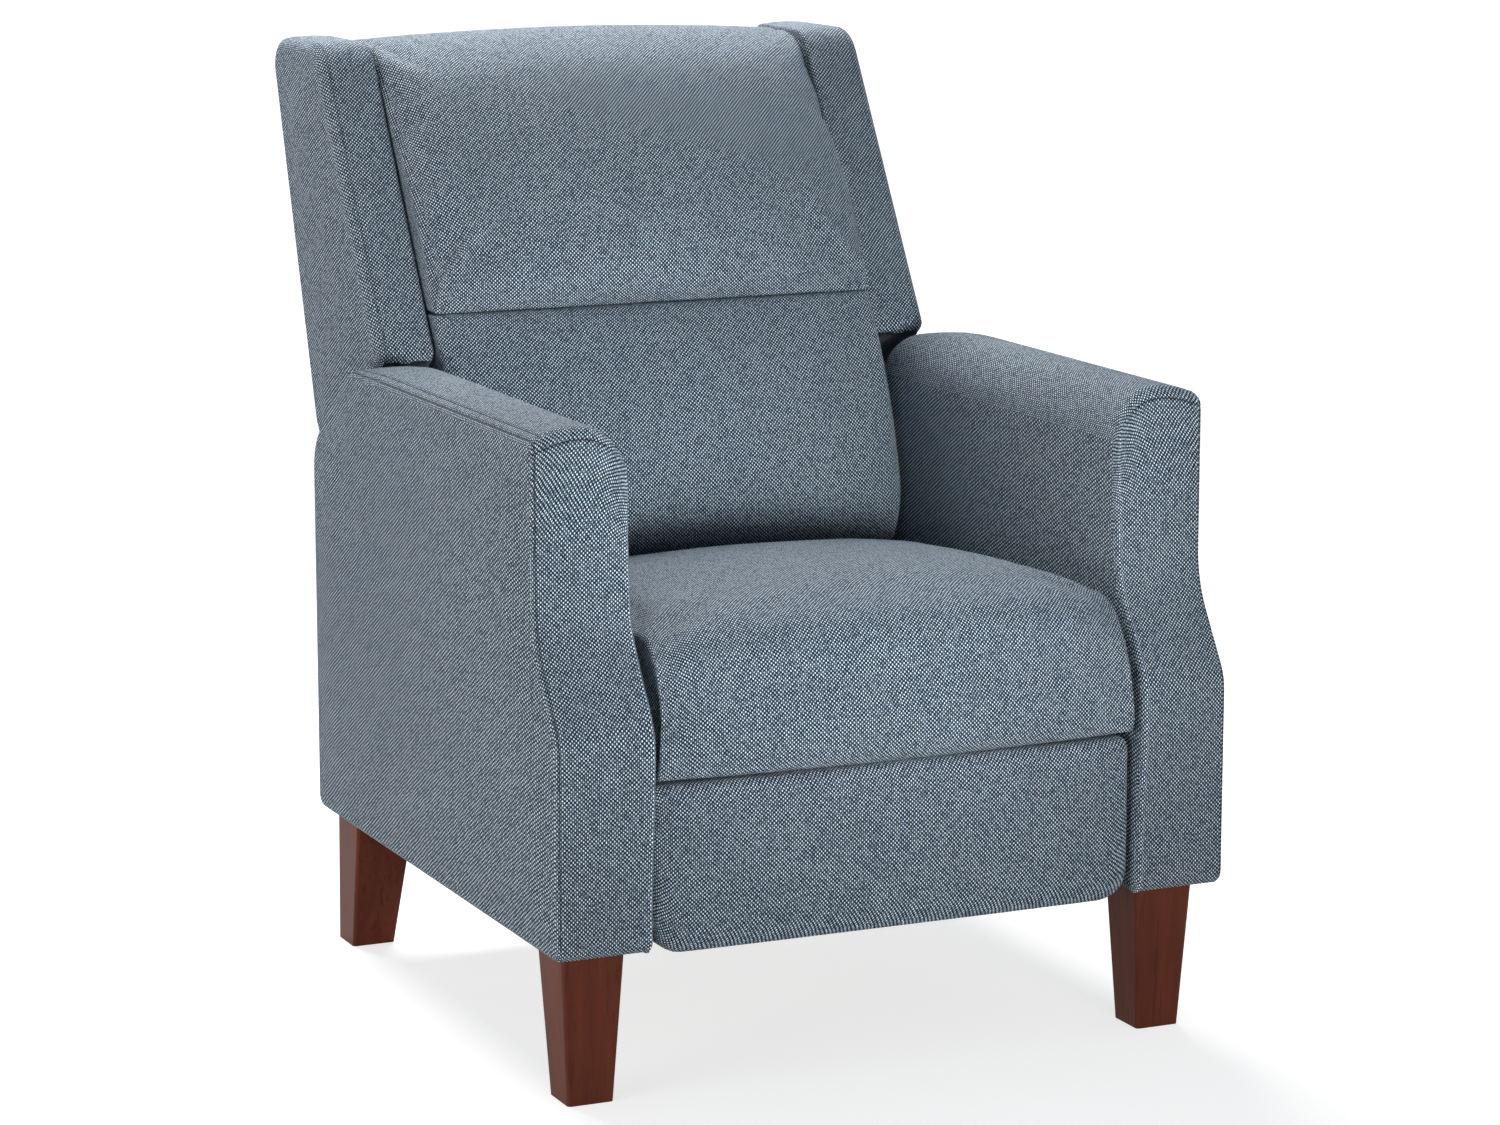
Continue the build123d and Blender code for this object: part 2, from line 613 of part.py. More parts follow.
# Seat: steel side plates on rollers, a timber frame with webbing and a crowned cushion over it
FRAME_FRONT = SEAT_FRONT_WALL - SEAT_OVERHANG
FRAME_REAR = SEAT_REAR - SEAT_REAR_WALL
FRAME_TOP_HEIGHT = SEAT_BOTTOM + SEAT_RAIL_HEIGHT
FLANGE_BOTTOM = SEAT_BOTTOM - PLATE
PLATE_FRONT = CROSS_DEPTH
LEG_REAR = CROSS_FOOT[0] + SLIDE_PIN + MIDDLE_DEPTH
WEB_BOTTOM = PIVOT_HEIGHT - PIVOT_EYE / 2
LEG_BOTTOM = LEG_HEIGHT + COVER
SEAT_SCREW_MIDDLE = FRAME_HALF_WIDTH - SEAT_RAIL / 2
SEAT_SCREWS = [
    (SEAT_SCREW_MIDDLE, FRAME_FRONT + share * (FRAME_REAR - FRAME_FRONT) - MIDDLE_DEPTH)
    for share in (0.2, 0.5, 0.8)
]

for name, side in SIDES:
    with BuildPart() as seat_plate:
        with BuildSketch(side_plane(side, SEAT_PLATE_INNER, PLATE)):
            with BuildLine():
                Polyline(
                    at(PLATE_FRONT, SEAT_BOTTOM),
                    at(PLATE_FRONT, LEG_BOTTOM),
                    at(LEG_REAR, LEG_BOTTOM),
                    at(LEG_REAR, WEB_BOTTOM),
                    (PIVOT[0], WEB_BOTTOM),
                    (PIVOT[0], PIVOT_HEIGHT + PIVOT_EYE / 2),
                    at(FRAME_REAR, SEAT_BOTTOM),
                    close=True,
                )
            make_face()
            with Locations(PIVOT):
                Circle(PIVOT_EYE / 2)
            round_holes([PIVOT], PIVOT_BOLT)
            round_holes(ROLLERS, ROLLER)
            bar(CROSS_FOOT, SLIDE_END, SLIDE_PIN + 2 * RUNNING_FIT, mode=Mode.SUBTRACT)
        extrude(amount=PLATE)
        flange_span = mirrored_span(side, SEAT_PLATE_INNER + PLATE - SEAT_FLANGE, SEAT_PLATE_INNER + PLATE)
        span_block(flange_span, (PLATE_FRONT, FRAME_REAR), (FLANGE_BOTTOM, SEAT_BOTTOM))
        with BuildSketch(Plane.XY.offset(FLANGE_BOTTOM)):
            with Locations(*[(side * x, y) for x, y in SEAT_SCREWS]):
                Circle(SCREW / 2)
        extrude(amount=PLATE, mode=Mode.SUBTRACT)
        pin_length = SEAT_PLATE_INNER - DRIVE_LAYER
        with BuildSketch(side_plane(side, DRIVE_LAYER, pin_length)):
            with Locations(DRIVE_POINT):
                Circle(DRIVE_PIN / 2)
        extrude(amount=pin_length)
    keep(seat_plate.part, f"{name}_seat_plate")

    with BuildPart() as seat_side_rail:
        rail_span = mirrored_span(side, FRAME_HALF_WIDTH - SEAT_RAIL, FRAME_HALF_WIDTH)
        span_block(rail_span, (FRAME_FRONT, FRAME_REAR), (SEAT_BOTTOM, FRAME_TOP_HEIGHT))
        with BuildSketch(Plane.XY.offset(SEAT_BOTTOM)):
            with Locations(*[(side * x, y) for x, y in SEAT_SCREWS]):
                Circle(SCREW / 2)
        extrude(amount=SCREW_GRIP, mode=Mode.SUBTRACT)
    keep(seat_side_rail.part, f"seat_{name}_rail")

with BuildPart() as seat_screws:
    for name, side in SIDES:
        with BuildSketch(Plane.XY.offset(FLANGE_BOTTOM)):
            with Locations(*[(side * x, y) for x, y in SEAT_SCREWS]):
                Circle(SCREW / 2)
        extrude(amount=SCREW_GRIP + PLATE)
        with BuildSketch(Plane.XY.offset(FLANGE_BOTTOM - SCREW_HEAD_HEIGHT)):
            with Locations(*[(side * x, y) for x, y in SEAT_SCREWS]):
                Circle(SCREW_HEAD / 2)
        extrude(amount=SCREW_HEAD_HEIGHT)
keep(seat_screws.part, "seat_screws")

inner_span = (SEAT_RAIL - FRAME_HALF_WIDTH, FRAME_HALF_WIDTH - SEAT_RAIL)
with BuildPart() as seat_front_rail:
    span_block(inner_span, (FRAME_FRONT, FRAME_FRONT + SEAT_RAIL), (SEAT_BOTTOM, FRAME_TOP_HEIGHT))
keep(seat_front_rail.part, "seat_front_rail")

with BuildPart() as seat_rear_rail:
    span_block(inner_span, (FRAME_REAR - SEAT_RAIL, FRAME_REAR), (SEAT_BOTTOM, FRAME_TOP_HEIGHT))
keep(seat_rear_rail.part, "seat_rear_rail")

with BuildPart() as seat_webbing:
    strap_spacing = 2 * FRAME_HALF_WIDTH / SEAT_STRAPS
    strap_middle = (0, (FRAME_FRONT + FRAME_REAR) / 2 - MIDDLE_DEPTH, FRAME_TOP_HEIGHT + WEBBING / 2)
    with Locations(strap_middle):
        with GridLocations(strap_spacing, 0, SEAT_STRAPS, 1):
            Box(WEBBING_WIDTH, FRAME_REAR - FRAME_FRONT, WEBBING)
keep(seat_webbing.part, "seat_webbing")

with BuildPart() as seat_dust_cover:
    cover_half = SEAT_PLATE_INNER + PLATE - SEAT_FLANGE - SEAT_FIT
    span_block((-cover_half, cover_half), (FRAME_FRONT, FRAME_REAR), (SEAT_BOTTOM - DUST_COVER, SEAT_BOTTOM))
keep(seat_dust_cover.part, "seat_dust_cover")

with BuildPart() as seat_rollers:
    for name, side in SIDES:
        shank = RAIL_INNER + LAYER_GAP / 2 - SEAT_PLATE_INNER
        with BuildSketch(side_plane(side, SEAT_PLATE_INNER, shank)):
            with Locations(*ROLLERS):
                Circle(ROLLER / 2)
        extrude(amount=shank)
        with BuildSketch(side_plane(side, SEAT_PLATE_INNER + shank, ROLLER_HEAD_THICKNESS)):
            with Locations(*ROLLERS):
                Circle(ROLLER_HEAD / 2)
        extrude(amount=ROLLER_HEAD_THICKNESS)
keep(seat_rollers.part, "seat_rollers")

with BuildPart() as back_pivot_bolts:
    for name, side in SIDES:
        shank = SEAT_PLATE_INNER + PLATE - CROSS_LAYER
        with BuildSketch(side_plane(side, CROSS_LAYER, shank)):
            with Locations(PIVOT):
                Circle(PIVOT_BOLT / 2)
        extrude(amount=shank)
        head_inner = CROSS_LAYER - SEAT_FIT - PIVOT_HEAD_THICKNESS
        head_depth = PIVOT_HEAD_THICKNESS
        with BuildSketch(side_plane(side, head_inner, head_depth)):
            with Locations(PIVOT):
                Circle(PIVOT_HEAD / 2)
        extrude(amount=head_depth)
        with BuildSketch(side_plane(side, CROSS_LAYER - SEAT_FIT, SEAT_FIT)):
            with Locations(PIVOT):
                Circle(PIVOT_BOLT / 2)
        extrude(amount=SEAT_FIT)
keep(back_pivot_bolts.part, "back_pivot_bolts")

with BuildPart() as back_pivot_washers:
    for name, side in SIDES:
        washer = LAYER_GAP - RUNNING_FIT
        with BuildSketch(side_plane(side, SEAT_PLATE_INNER - washer, washer)):
            with Locations(PIVOT):
                Circle(PIVOT_EYE / 2)
                Circle(PIVOT_BOLT / 2 + RUNNING_FIT, mode=Mode.SUBTRACT)
        extrude(amount=washer)
keep(back_pivot_washers.part, "back_pivot_washers")

with BuildPart() as seat_cushion:
    for station in CUSHION_STATIONS:
        share = 1 - station**2
        front = SEAT_DRAW_IN * (1 - share) - SEAT_OVERHANG
        front_top = SEAT_FRONT_TOP + SEAT_FRONT_CROWN * share
        rear_top = SEAT_REAR_TOP + SEAT_REAR_CROWN * share
        low_centre = at(front + SEAT_LOWER_ROUND, SEAT_BOTTOM + SEAT_LOWER_ROUND)
        nose_centre = at(front + SEAT_NOSE_ROUND, front_top - SEAT_NOSE_ROUND)
        nose_top = at(front + SEAT_NOSE_ROUND, front_top)
        rear_edge = at(SEAT_REAR, rear_top)
        top_middle = middle(nose_top, rear_edge)
        with BuildSketch(Plane.YZ.offset(station * SEAT_HALF_WIDTH)):
            with BuildLine():
                Line(at(SEAT_REAR, SEAT_BOTTOM), at(front + SEAT_LOWER_ROUND, SEAT_BOTTOM))
                ThreePointArc(
                    at(front + SEAT_LOWER_ROUND, SEAT_BOTTOM),
                    corner_middle(low_centre, SEAT_LOWER_ROUND, 1, -1),
                    at(front, SEAT_BOTTOM + SEAT_LOWER_ROUND),
                )
                Line(at(front, SEAT_BOTTOM + SEAT_LOWER_ROUND), at(front, front_top - SEAT_NOSE_ROUND))
                ThreePointArc(
                    at(front, front_top - SEAT_NOSE_ROUND),
                    corner_middle(nose_centre, SEAT_NOSE_ROUND, 1, 1),
                    nose_top,
                )
                ThreePointArc(nose_top, (top_middle[0], top_middle[1] + SEAT_TOP_BOW), rear_edge)
                Line(rear_edge, at(SEAT_REAR, SEAT_BOTTOM))
            make_face()
    loft()
    cavity_half = FRAME_HALF_WIDTH + SEAT_FIT
    cavity_depths = (FRAME_FRONT - SEAT_FIT, FRAME_REAR + SEAT_FIT)
    cavity_heights = (SEAT_BOTTOM, FRAME_TOP_HEIGHT + WEBBING + SEAT_FIT)
    span_block((-cavity_half, cavity_half), cavity_depths, cavity_heights, mode=Mode.SUBTRACT)
keep(seat_cushion.part, "seat_cushion")

# Back: brackets on the pivots, a timber frame with webbing, wings, two cushions and an outside panel
BRACKET_SCREWS = [along(PIVOT, 90 + BRACKET_LEAN, BRACKET_REACH * share) for share in (0.8, 0.88, 0.96)]
POST_SETBACK = OUTSIDE_BACK
WEBBING_DEPTH = WEBBING / math.cos(math.radians(CUSHION_BACK_LEAN))

for name, side in SIDES:
    with BuildPart() as back_bracket:
        with BuildSketch(side_plane(side, CROSS_LAYER, PLATE)):
            bar(PIVOT, BRACKET_END, BRACKET_WIDTH)
            bar(PIVOT, GUIDE_POINT, BRACKET_WIDTH)
            bar(PIVOT, PUSH_POINT, LINK_WIDTH)
            round_holes([PIVOT], PIVOT_BOLT + 2 * RUNNING_FIT)
            round_holes([GUIDE_POINT], GUIDE_PIN)
            round_holes(BRACKET_SCREWS, SCREW)
        extrude(amount=PLATE)
        pin_length = CROSS_LAYER - ROD_LAYER
        with BuildSketch(side_plane(side, ROD_LAYER, pin_length)):
            with Locations(PUSH_POINT):
                Circle(PUSH_PIN / 2)
        extrude(amount=pin_length)
    keep(back_bracket.part, f"{name}_back_bracket")

    with BuildPart() as back_post:
        with BuildSketch(side_plane(side, POST_INNER, POST_THICKNESS)):
            with BuildLine():
                Polyline(
                    at(cushion_back(POST_BOTTOM) + WEBBING_DEPTH, POST_BOTTOM),
                    at(cushion_back(FRAME_TOP) + WEBBING_DEPTH, FRAME_TOP),
                    at(back_rear(FRAME_TOP) - POST_SETBACK / LEAN_COS, FRAME_TOP),
                    at(back_rear(POST_BOTTOM) - POST_SETBACK / LEAN_COS, POST_BOTTOM),
                    close=True,
                )
            make_face()
        extrude(amount=POST_THICKNESS)
        with BuildSketch(drill_plane(side, CROSS_LAYER, SCREW_GRIP, False)):
            with Locations(*BRACKET_SCREWS):
                Circle(SCREW / 2)
        extrude(amount=SCREW_GRIP, mode=Mode.SUBTRACT)
    keep(back_post.part, f"{name}_back_post")

    with BuildPart() as wing:
        foot = ARM_HEIGHT + WING_FOOT_LIFT
        tail_front = ARM_DEPTH + WING_TAIL_CLEARANCE
        slope = ARM_SLOPE_DROP / ARM_SLOPE_LENGTH
        with BuildSketch(side_plane(side, WING_INNER, WING_THICKNESS)):
            with BuildLine():
                FilletPolyline(
                    at(wing_front(foot), foot),
                    at(wing_front(WING_TOP), WING_TOP),
                    at(BACK_TOP_DEPTH, WING_TOP),
                    at(back_rear(WING_TAIL_BOTTOM), WING_TAIL_BOTTOM),
                    at(tail_front + WING_TAIL_STEP, WING_TAIL_BOTTOM),
                    at(tail_front, foot - slope * (tail_front - wing_front(foot))),
                    radius=(
                        WING_FOOT_ROUND,
                        WING_TOP_ROUND,
                        WING_REAR_ROUND,
                        WING_TAIL_ROUND,
                        WING_TAIL_FRONT_ROUND,
                        WING_TAIL_FRONT_ROUND,
                    ),
                    close=True,
                )
            make_face()
        extrude(amount=WING_THICKNESS)
        fillet(wing.faces().filter_by(Axis.X).edges(), WING_EDGE_ROUND)
    keep(wing.part, f"{name}_wing")

with BuildPart() as back_guide_pins:
    for name, side in SIDES:
        reach = RAIL_INNER + PLATE - CROSS_LAYER
        with BuildSketch(side_plane(side, CROSS_LAYER, reach)):
            with Locations(GUIDE_POINT):
                Circle(GUIDE_PIN / 2)
        extrude(amount=reach)
keep(back_guide_pins.part, "back_guide_pins")

with BuildPart() as back_screws:
    for name, side in SIDES:
        add(make_screw(side, CROSS_LAYER, BRACKET_SCREWS, SCREW_GRIP, False))
keep(back_screws.part, "back_screws")

with BuildPart() as back_top_rail:
    with BuildSketch(Plane.YZ.offset(-POST_INNER)):
        with BuildLine():
            Polyline(*lean_strip(FRAME_TOP - TOP_RAIL_HEIGHT, FRAME_TOP, OUTSIDE_BACK, BACK_RAIL), close=True)
        make_face()
    extrude(amount=2 * POST_INNER)
keep(back_top_rail.part, "back_top_rail")

with BuildPart() as back_lower_rail:
    rail_top = LOWER_RAIL_BOTTOM + LOWER_RAIL_HEIGHT
    with BuildSketch(Plane.YZ.offset(-CROSS_LAYER)):
        with BuildLine():
            Polyline(*lean_strip(LOWER_RAIL_BOTTOM, rail_top, OUTSIDE_BACK, BACK_RAIL), close=True)
        make_face()
    extrude(amount=2 * CROSS_LAYER)
keep(back_lower_rail.part, "back_lower_rail")

with BuildPart() as back_webbing:
    strap_pitch = (FRAME_TOP - POST_BOTTOM) / BACK_STRAPS
    with BuildSketch(Plane.YZ.offset(-WING_INNER)):
        for strap in range(BACK_STRAPS):
            height = POST_BOTTOM + (strap + 0.5) * strap_pitch
            with Locations(at(cushion_back(height) + WEBBING_DEPTH / 2, height)):
                Rectangle(WEBBING, WEBBING_WIDTH, rotation=-CUSHION_BACK_LEAN)
    extrude(amount=2 * WING_INNER)
keep(back_webbing.part, "back_webbing")

with BuildPart() as outside_back:
    with BuildSketch(Plane.YZ.offset(-BACK_HALF_WIDTH)):
        with BuildLine():
            Polyline(*lean_strip(OUTSIDE_BACK_BOTTOM, FRAME_TOP, 0, OUTSIDE_BACK), close=True)
        make_face()
    extrude(amount=2 * BACK_HALF_WIDTH)
    with BuildSketch(Plane.YZ.offset(-OUTSIDE_BACK_FLAP / 2)):
        with BuildLine():
            Polyline(*lean_strip(OUTSIDE_BACK_FLAP_BOTTOM, OUTSIDE_BACK_BOTTOM, 0, OUTSIDE_BACK), close=True)
        make_face()
    extrude(amount=OUTSIDE_BACK_FLAP)
    for name, side in SIDES:
        return_plane = side_plane(side, BACK_HALF_WIDTH - OUTSIDE_BACK_RETURN, OUTSIDE_BACK_RETURN)
        return_reach = OUTSIDE_BACK_RETURN_DEPTH - OUTSIDE_BACK
        return_corners = lean_strip(OUTSIDE_BACK_BOTTOM, POST_BOTTOM, OUTSIDE_BACK, return_reach)
        with BuildSketch(return_plane):
            with BuildLine():
                Polyline(*return_corners, close=True)
            make_face()
        extrude(amount=OUTSIDE_BACK_RETURN)
keep(outside_back.part, "outside_back")

seam_back = at(cushion_back(SEAM_HEIGHT), SEAM_HEIGHT)
with BuildPart() as lumbar_cushion:
    for station in CUSHION_STATIONS:
        share = 1 - station**2
        front = at(LUMBAR_FRONT - LUMBAR_CROWN * share, LUMBAR_FRONT_HEIGHT)
        bottom = seat_top(LUMBAR_FRONT, share) + LUMBAR_SEAT_GAP
        tuck = at(LUMBAR_FRONT + LUMBAR_TUCK, bottom)
        shoulder = at(SEAM_DEPTH - LUMBAR_CROWN * share / 2, SEAM_HEIGHT - SEAM_ROUND)
        channel = at(SEAM_DEPTH + SEAM_CHANNEL, SEAM_HEIGHT)
        with BuildSketch(Plane.YZ.offset(station * BACK_HALF_WIDTH)):
            with BuildLine():
                Line(at(cushion_back(bottom), bottom), tuck)
                ThreePointArc(tuck, middle(tuck, front, LUMBAR_BOW / 2), front)
                ThreePointArc(front, middle(front, shoulder, LUMBAR_BOW), shoulder)
                ThreePointArc(shoulder, middle(shoulder, channel, SEAM_ROUND / 4), channel)
                Line(channel, seam_back)
                Line(seam_back, at(cushion_back(bottom), bottom))
            make_face()
    loft()
keep(lumbar_cushion.part, "lumbar_cushion")

with BuildPart() as head_cushion:
    for station in CUSHION_STATIONS:
        share = 1 - station**2
        channel = at(SEAM_DEPTH + SEAM_CHANNEL, SEAM_HEIGHT)
        belly = at(SEAM_DEPTH - HEAD_CROWN * share / 2, SEAM_HEIGHT + SEAM_ROUND)
        shoulder = at(HEAD_SHOULDER_DEPTH - HEAD_CROWN * share, HEAD_SHOULDER_HEIGHT)
        crown = at(HEAD_TOP_DEPTH, HEAD_TOP + HEAD_TOP_CROWN * share)
        rear_depth = back_rear(FRAME_TOP) - OUTSIDE_BACK / LEAN_COS
        rear = at(rear_depth, FRAME_TOP)
        lip = at(cushion_back(FRAME_TOP), FRAME_TOP)
        over_front = middle(shoulder, crown)
        over_rear = middle(crown, rear)
        with BuildSketch(Plane.YZ.offset(station * BACK_HALF_WIDTH)):
            with BuildLine():
                Line(seam_back, channel)
                ThreePointArc(channel, middle(channel, belly, SEAM_ROUND / 4), belly)
                ThreePointArc(belly, middle(belly, shoulder, HEAD_BOW), shoulder)
                ThreePointArc(shoulder, (over_front[0], over_front[1] + HEAD_BOW), crown)
                ThreePointArc(crown, (over_rear[0], over_rear[1] + HEAD_REAR_DROP), rear)
                Line(rear, lip)
                Line(lip, seam_back)
            make_face()
    loft()
keep(head_cushion.part, "head_cushion")

# Footrest: two scissor linkages, a torque tube, push rods, a board and its pad
FLANGE_TOP = CROSS_TIP[1] - LINK_WIDTH
FLANGE_LOW = BRACKET_TIP[1]
FOOTREST_SCREWS = [
    (FOOTREST_LAYER - BRACKET_FLANGE / 2, FLANGE_LOW + share * (FLANGE_TOP - FLANGE_LOW))
    for share in (0.2, 0.8)
]
BOTH_SIDES_SCREWS = [(side * x, z) for name, side in SIDES for x, z in FOOTREST_SCREWS]
FOOTREST_SCREW_GRIP = PLATE + FOOTREST_BOARD - SCREW_HEAD_HEIGHT
SCREW_FACE = FOOTREST_BACK + PLATE - MIDDLE_DEPTH

for name, side in SIDES:
    with BuildPart() as drive_link:
        with BuildSketch(side_plane(side, DRIVE_LAYER, PLATE)):
            bar(DRIVE_POINT, DRIVE_TIP, LINK_WIDTH)
            with Locations(CRANK_POINT):
                Circle(CRANK_BOSS / 2)
            round_holes([DRIVE_POINT], DRIVE_PIN + 2 * RUNNING_FIT)
        extrude(amount=PLATE)
        crossing_length = CROSS_LAYER + PLATE - DRIVE_LAYER - PLATE
        with BuildSketch(side_plane(side, DRIVE_LAYER + PLATE, crossing_length)):
            with Locations(FIRST_CROSSING):
                Circle(LINK_PIN / 2)
        extrude(amount=crossing_length)
        tip_length = DRIVE_LAYER - OUTER_LAYER
        with BuildSketch(side_plane(side, OUTER_LAYER, tip_length)):
            with Locations(DRIVE_TIP):
                Circle(LINK_PIN / 2)
        extrude(amount=tip_length)
        crank_length = DRIVE_LAYER - ROD_LAYER
        with BuildSketch(side_plane(side, ROD_LAYER, crank_length)):
            with Locations(CRANK_POINT):
                Circle(PUSH_PIN / 2)
        extrude(amount=crank_length)
    keep(drive_link.part, f"{name}_drive_link")

    with BuildPart() as cross_link:
        with BuildSketch(side_plane(side, CROSS_LAYER, PLATE)):
            bar(CROSS_FOOT, CROSS_TIP, LINK_WIDTH)
            round_holes([FIRST_CROSSING], LINK_PIN + 2 * RUNNING_FIT)
        extrude(amount=PLATE)
        foot_length = SEAT_PLATE_INNER + PLATE - CROSS_LAYER - PLATE
        with BuildSketch(side_plane(side, CROSS_LAYER + PLATE, foot_length)):
            with Locations(CROSS_FOOT):
                Circle(SLIDE_PIN / 2)
        extrude(amount=foot_length)
        tip_length = CROSS_LAYER - FOOTREST_LAYER
        with BuildSketch(side_plane(side, FOOTREST_LAYER, tip_length)):
            with Locations(CROSS_TIP):
                Circle(LINK_PIN / 2)
        extrude(amount=tip_length)
    keep(cross_link.part, f"{name}_cross_link")

    with BuildPart() as outer_link:
        with BuildSketch(side_plane(side, OUTER_LAYER, PLATE)):
            bar(DRIVE_TIP, SECOND_CROSSING, LINK_WIDTH)
            round_holes([DRIVE_TIP], LINK_PIN + 2 * RUNNING_FIT)
            round_holes([SECOND_CROSSING], LINK_PIN + 2 * RUNNING_FIT)
        extrude(amount=PLATE)
    keep(outer_link.part, f"{name}_outer_link")

    with BuildPart() as footrest_bracket:
        flange_front = FOOTREST_BACK - MIDDLE_DEPTH
        with BuildSketch(side_plane(side, FOOTREST_LAYER, PLATE)):
            bar(CROSS_TIP, BRACKET_TIP, LINK_WIDTH)
            with BuildLine():
                Polyline(
                    (flange_front, FLANGE_TOP),
                    (CROSS_TIP[0], FLANGE_TOP),
                    (BRACKET_TIP[0], FLANGE_LOW),
                    (flange_front, FLANGE_LOW),
                    close=True,
                )
            make_face()
            round_holes([CROSS_TIP], LINK_PIN + 2 * RUNNING_FIT)
        extrude(amount=PLATE)
        flange_span = mirrored_span(side, FOOTREST_LAYER + PLATE - BRACKET_FLANGE, FOOTREST_LAYER + PLATE)
        span_block(flange_span, (FOOTREST_BACK, FOOTREST_BACK + PLATE), (FLANGE_LOW, FLANGE_TOP))
        pin_length = OUTER_LAYER + PLATE - FOOTREST_LAYER - PLATE
        with BuildSketch(side_plane(side, FOOTREST_LAYER + PLATE, pin_length)):
            with Locations(SECOND_CROSSING):
                Circle(LINK_PIN / 2)
        extrude(amount=pin_length)
        with BuildSketch(Plane.XZ.offset(-SCREW_FACE)):
            with Locations(*[(side * x, z) for x, z in FOOTREST_SCREWS]):
                Circle(SCREW / 2)
        extrude(amount=PLATE, mode=Mode.SUBTRACT)
    keep(footrest_bracket.part, f"{name}_footrest_bracket")

    with BuildPart() as push_rod:
        rod_angle = math.degrees(math.atan2(PUSH_POINT[1] - CRANK_POINT[1], PUSH_POINT[0] - CRANK_POINT[0]))
        with BuildSketch(side_plane(side, ROD_LAYER, PLATE)):
            bar(CRANK_POINT, PUSH_POINT, LINK_WIDTH)
            round_holes([CRANK_POINT], PUSH_PIN + 2 * RUNNING_FIT)
            with Locations(PUSH_POINT):
                Circle(PUSH_EYE / 2)
                SlotCenterToCenter(
                    2 * PUSH_SLOT_ROOM,
                    PUSH_PIN + 2 * PUSH_ROD_ROOM,
                    rotation=90 + rod_angle,
                    mode=Mode.SUBTRACT,
                )
        extrude(amount=PLATE)
    keep(push_rod.part, f"{name}_push_rod")

with BuildPart() as torque_tube:
    with BuildSketch(Plane.YZ.offset(-DRIVE_LAYER)):
        with Locations(DRIVE_POINT):
            Circle(TORQUE_TUBE / 2)
    extrude(amount=2 * DRIVE_LAYER)
keep(torque_tube.part, "torque_tube")

BOARD_FRONT = FOOTREST_FRONT + FOOTREST_FOAM
BOARD_HALF_WIDTH = FOOTREST_HALF_WIDTH - FOOTREST_RIM
BOARD_BOTTOM = FOOTREST_BOTTOM + FOOTREST_RIM
BOARD_TOP = FOOTREST_TOP - FOOTREST_RIM

with BuildPart() as footrest_board:
    span_block((-BOARD_HALF_WIDTH, BOARD_HALF_WIDTH), (BOARD_FRONT, FOOTREST_BACK), (BOARD_BOTTOM, BOARD_TOP))
    with BuildSketch(Plane.XZ.offset(-SCREW_FACE)):
        with Locations(*BOTH_SIDES_SCREWS):
            Circle(SCREW / 2)
    extrude(amount=FOOTREST_SCREW_GRIP, mode=Mode.SUBTRACT)
keep(footrest_board.part, "footrest_board")

with BuildPart() as footrest_screws:
    with BuildSketch(Plane.XZ.offset(-SCREW_FACE)):
        with Locations(*BOTH_SIDES_SCREWS):
            Circle(SCREW / 2)
    extrude(amount=FOOTREST_SCREW_GRIP)
    with BuildSketch(Plane.XZ.offset(-SCREW_FACE)):
        with Locations(*BOTH_SIDES_SCREWS):
            Circle(SCREW_HEAD / 2)
    extrude(amount=-SCREW_HEAD_HEIGHT)
keep(footrest_screws.part, "footrest_screws")

with BuildPart() as footrest_pad:
    for station in CUSHION_STATIONS:
        share = 1 - station**2
        front = FOOTREST_FRONT + FOOTREST_CROWN * (1 - share)
        low = at(front + FOOTREST_CROWN, FOOTREST_BOTTOM)
        high = at(front + FOOTREST_CROWN, FOOTREST_TOP)
        with BuildSketch(Plane.YZ.offset(station * FOOTREST_HALF_WIDTH)):
            with BuildLine():
                Line(at(FOOTREST_BACK, FOOTREST_TOP), at(FOOTREST_BACK, FOOTREST_BOTTOM))
                Line(at(FOOTREST_BACK, FOOTREST_BOTTOM), low)
                ThreePointArc(low, middle(low, high, FOOTREST_CROWN), high)
                Line(high, at(FOOTREST_BACK, FOOTREST_TOP))
            make_face()
    loft()
    with BuildSketch(Plane.XZ):
        with BuildLine():
            FilletPolyline(
                (-FOOTREST_HALF_WIDTH, FOOTREST_BOTTOM),
                (-FOOTREST_HALF_WIDTH, FOOTREST_TOP),
                (FOOTREST_HALF_WIDTH, FOOTREST_TOP),
                (FOOTREST_HALF_WIDTH, FOOTREST_BOTTOM),
                radius=(FOOTREST_CORNER, FOOTREST_TOP_CORNER, FOOTREST_TOP_CORNER, FOOTREST_CORNER),
                close=True,
            )
        make_face()
    extrude(amount=ARM_DEPTH, both=True, mode=Mode.INTERSECT)
    pocket_half = BOARD_HALF_WIDTH + SEAT_FIT
    span_block(
        (-pocket_half, pocket_half),
        (BOARD_FRONT, FOOTREST_BACK),
        (BOARD_BOTTOM - SEAT_FIT, BOARD_TOP + SEAT_FIT),
        mode=Mode.SUBTRACT,
    )
keep(footrest_pad.part, "footrest_pad")
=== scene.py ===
import json
import math

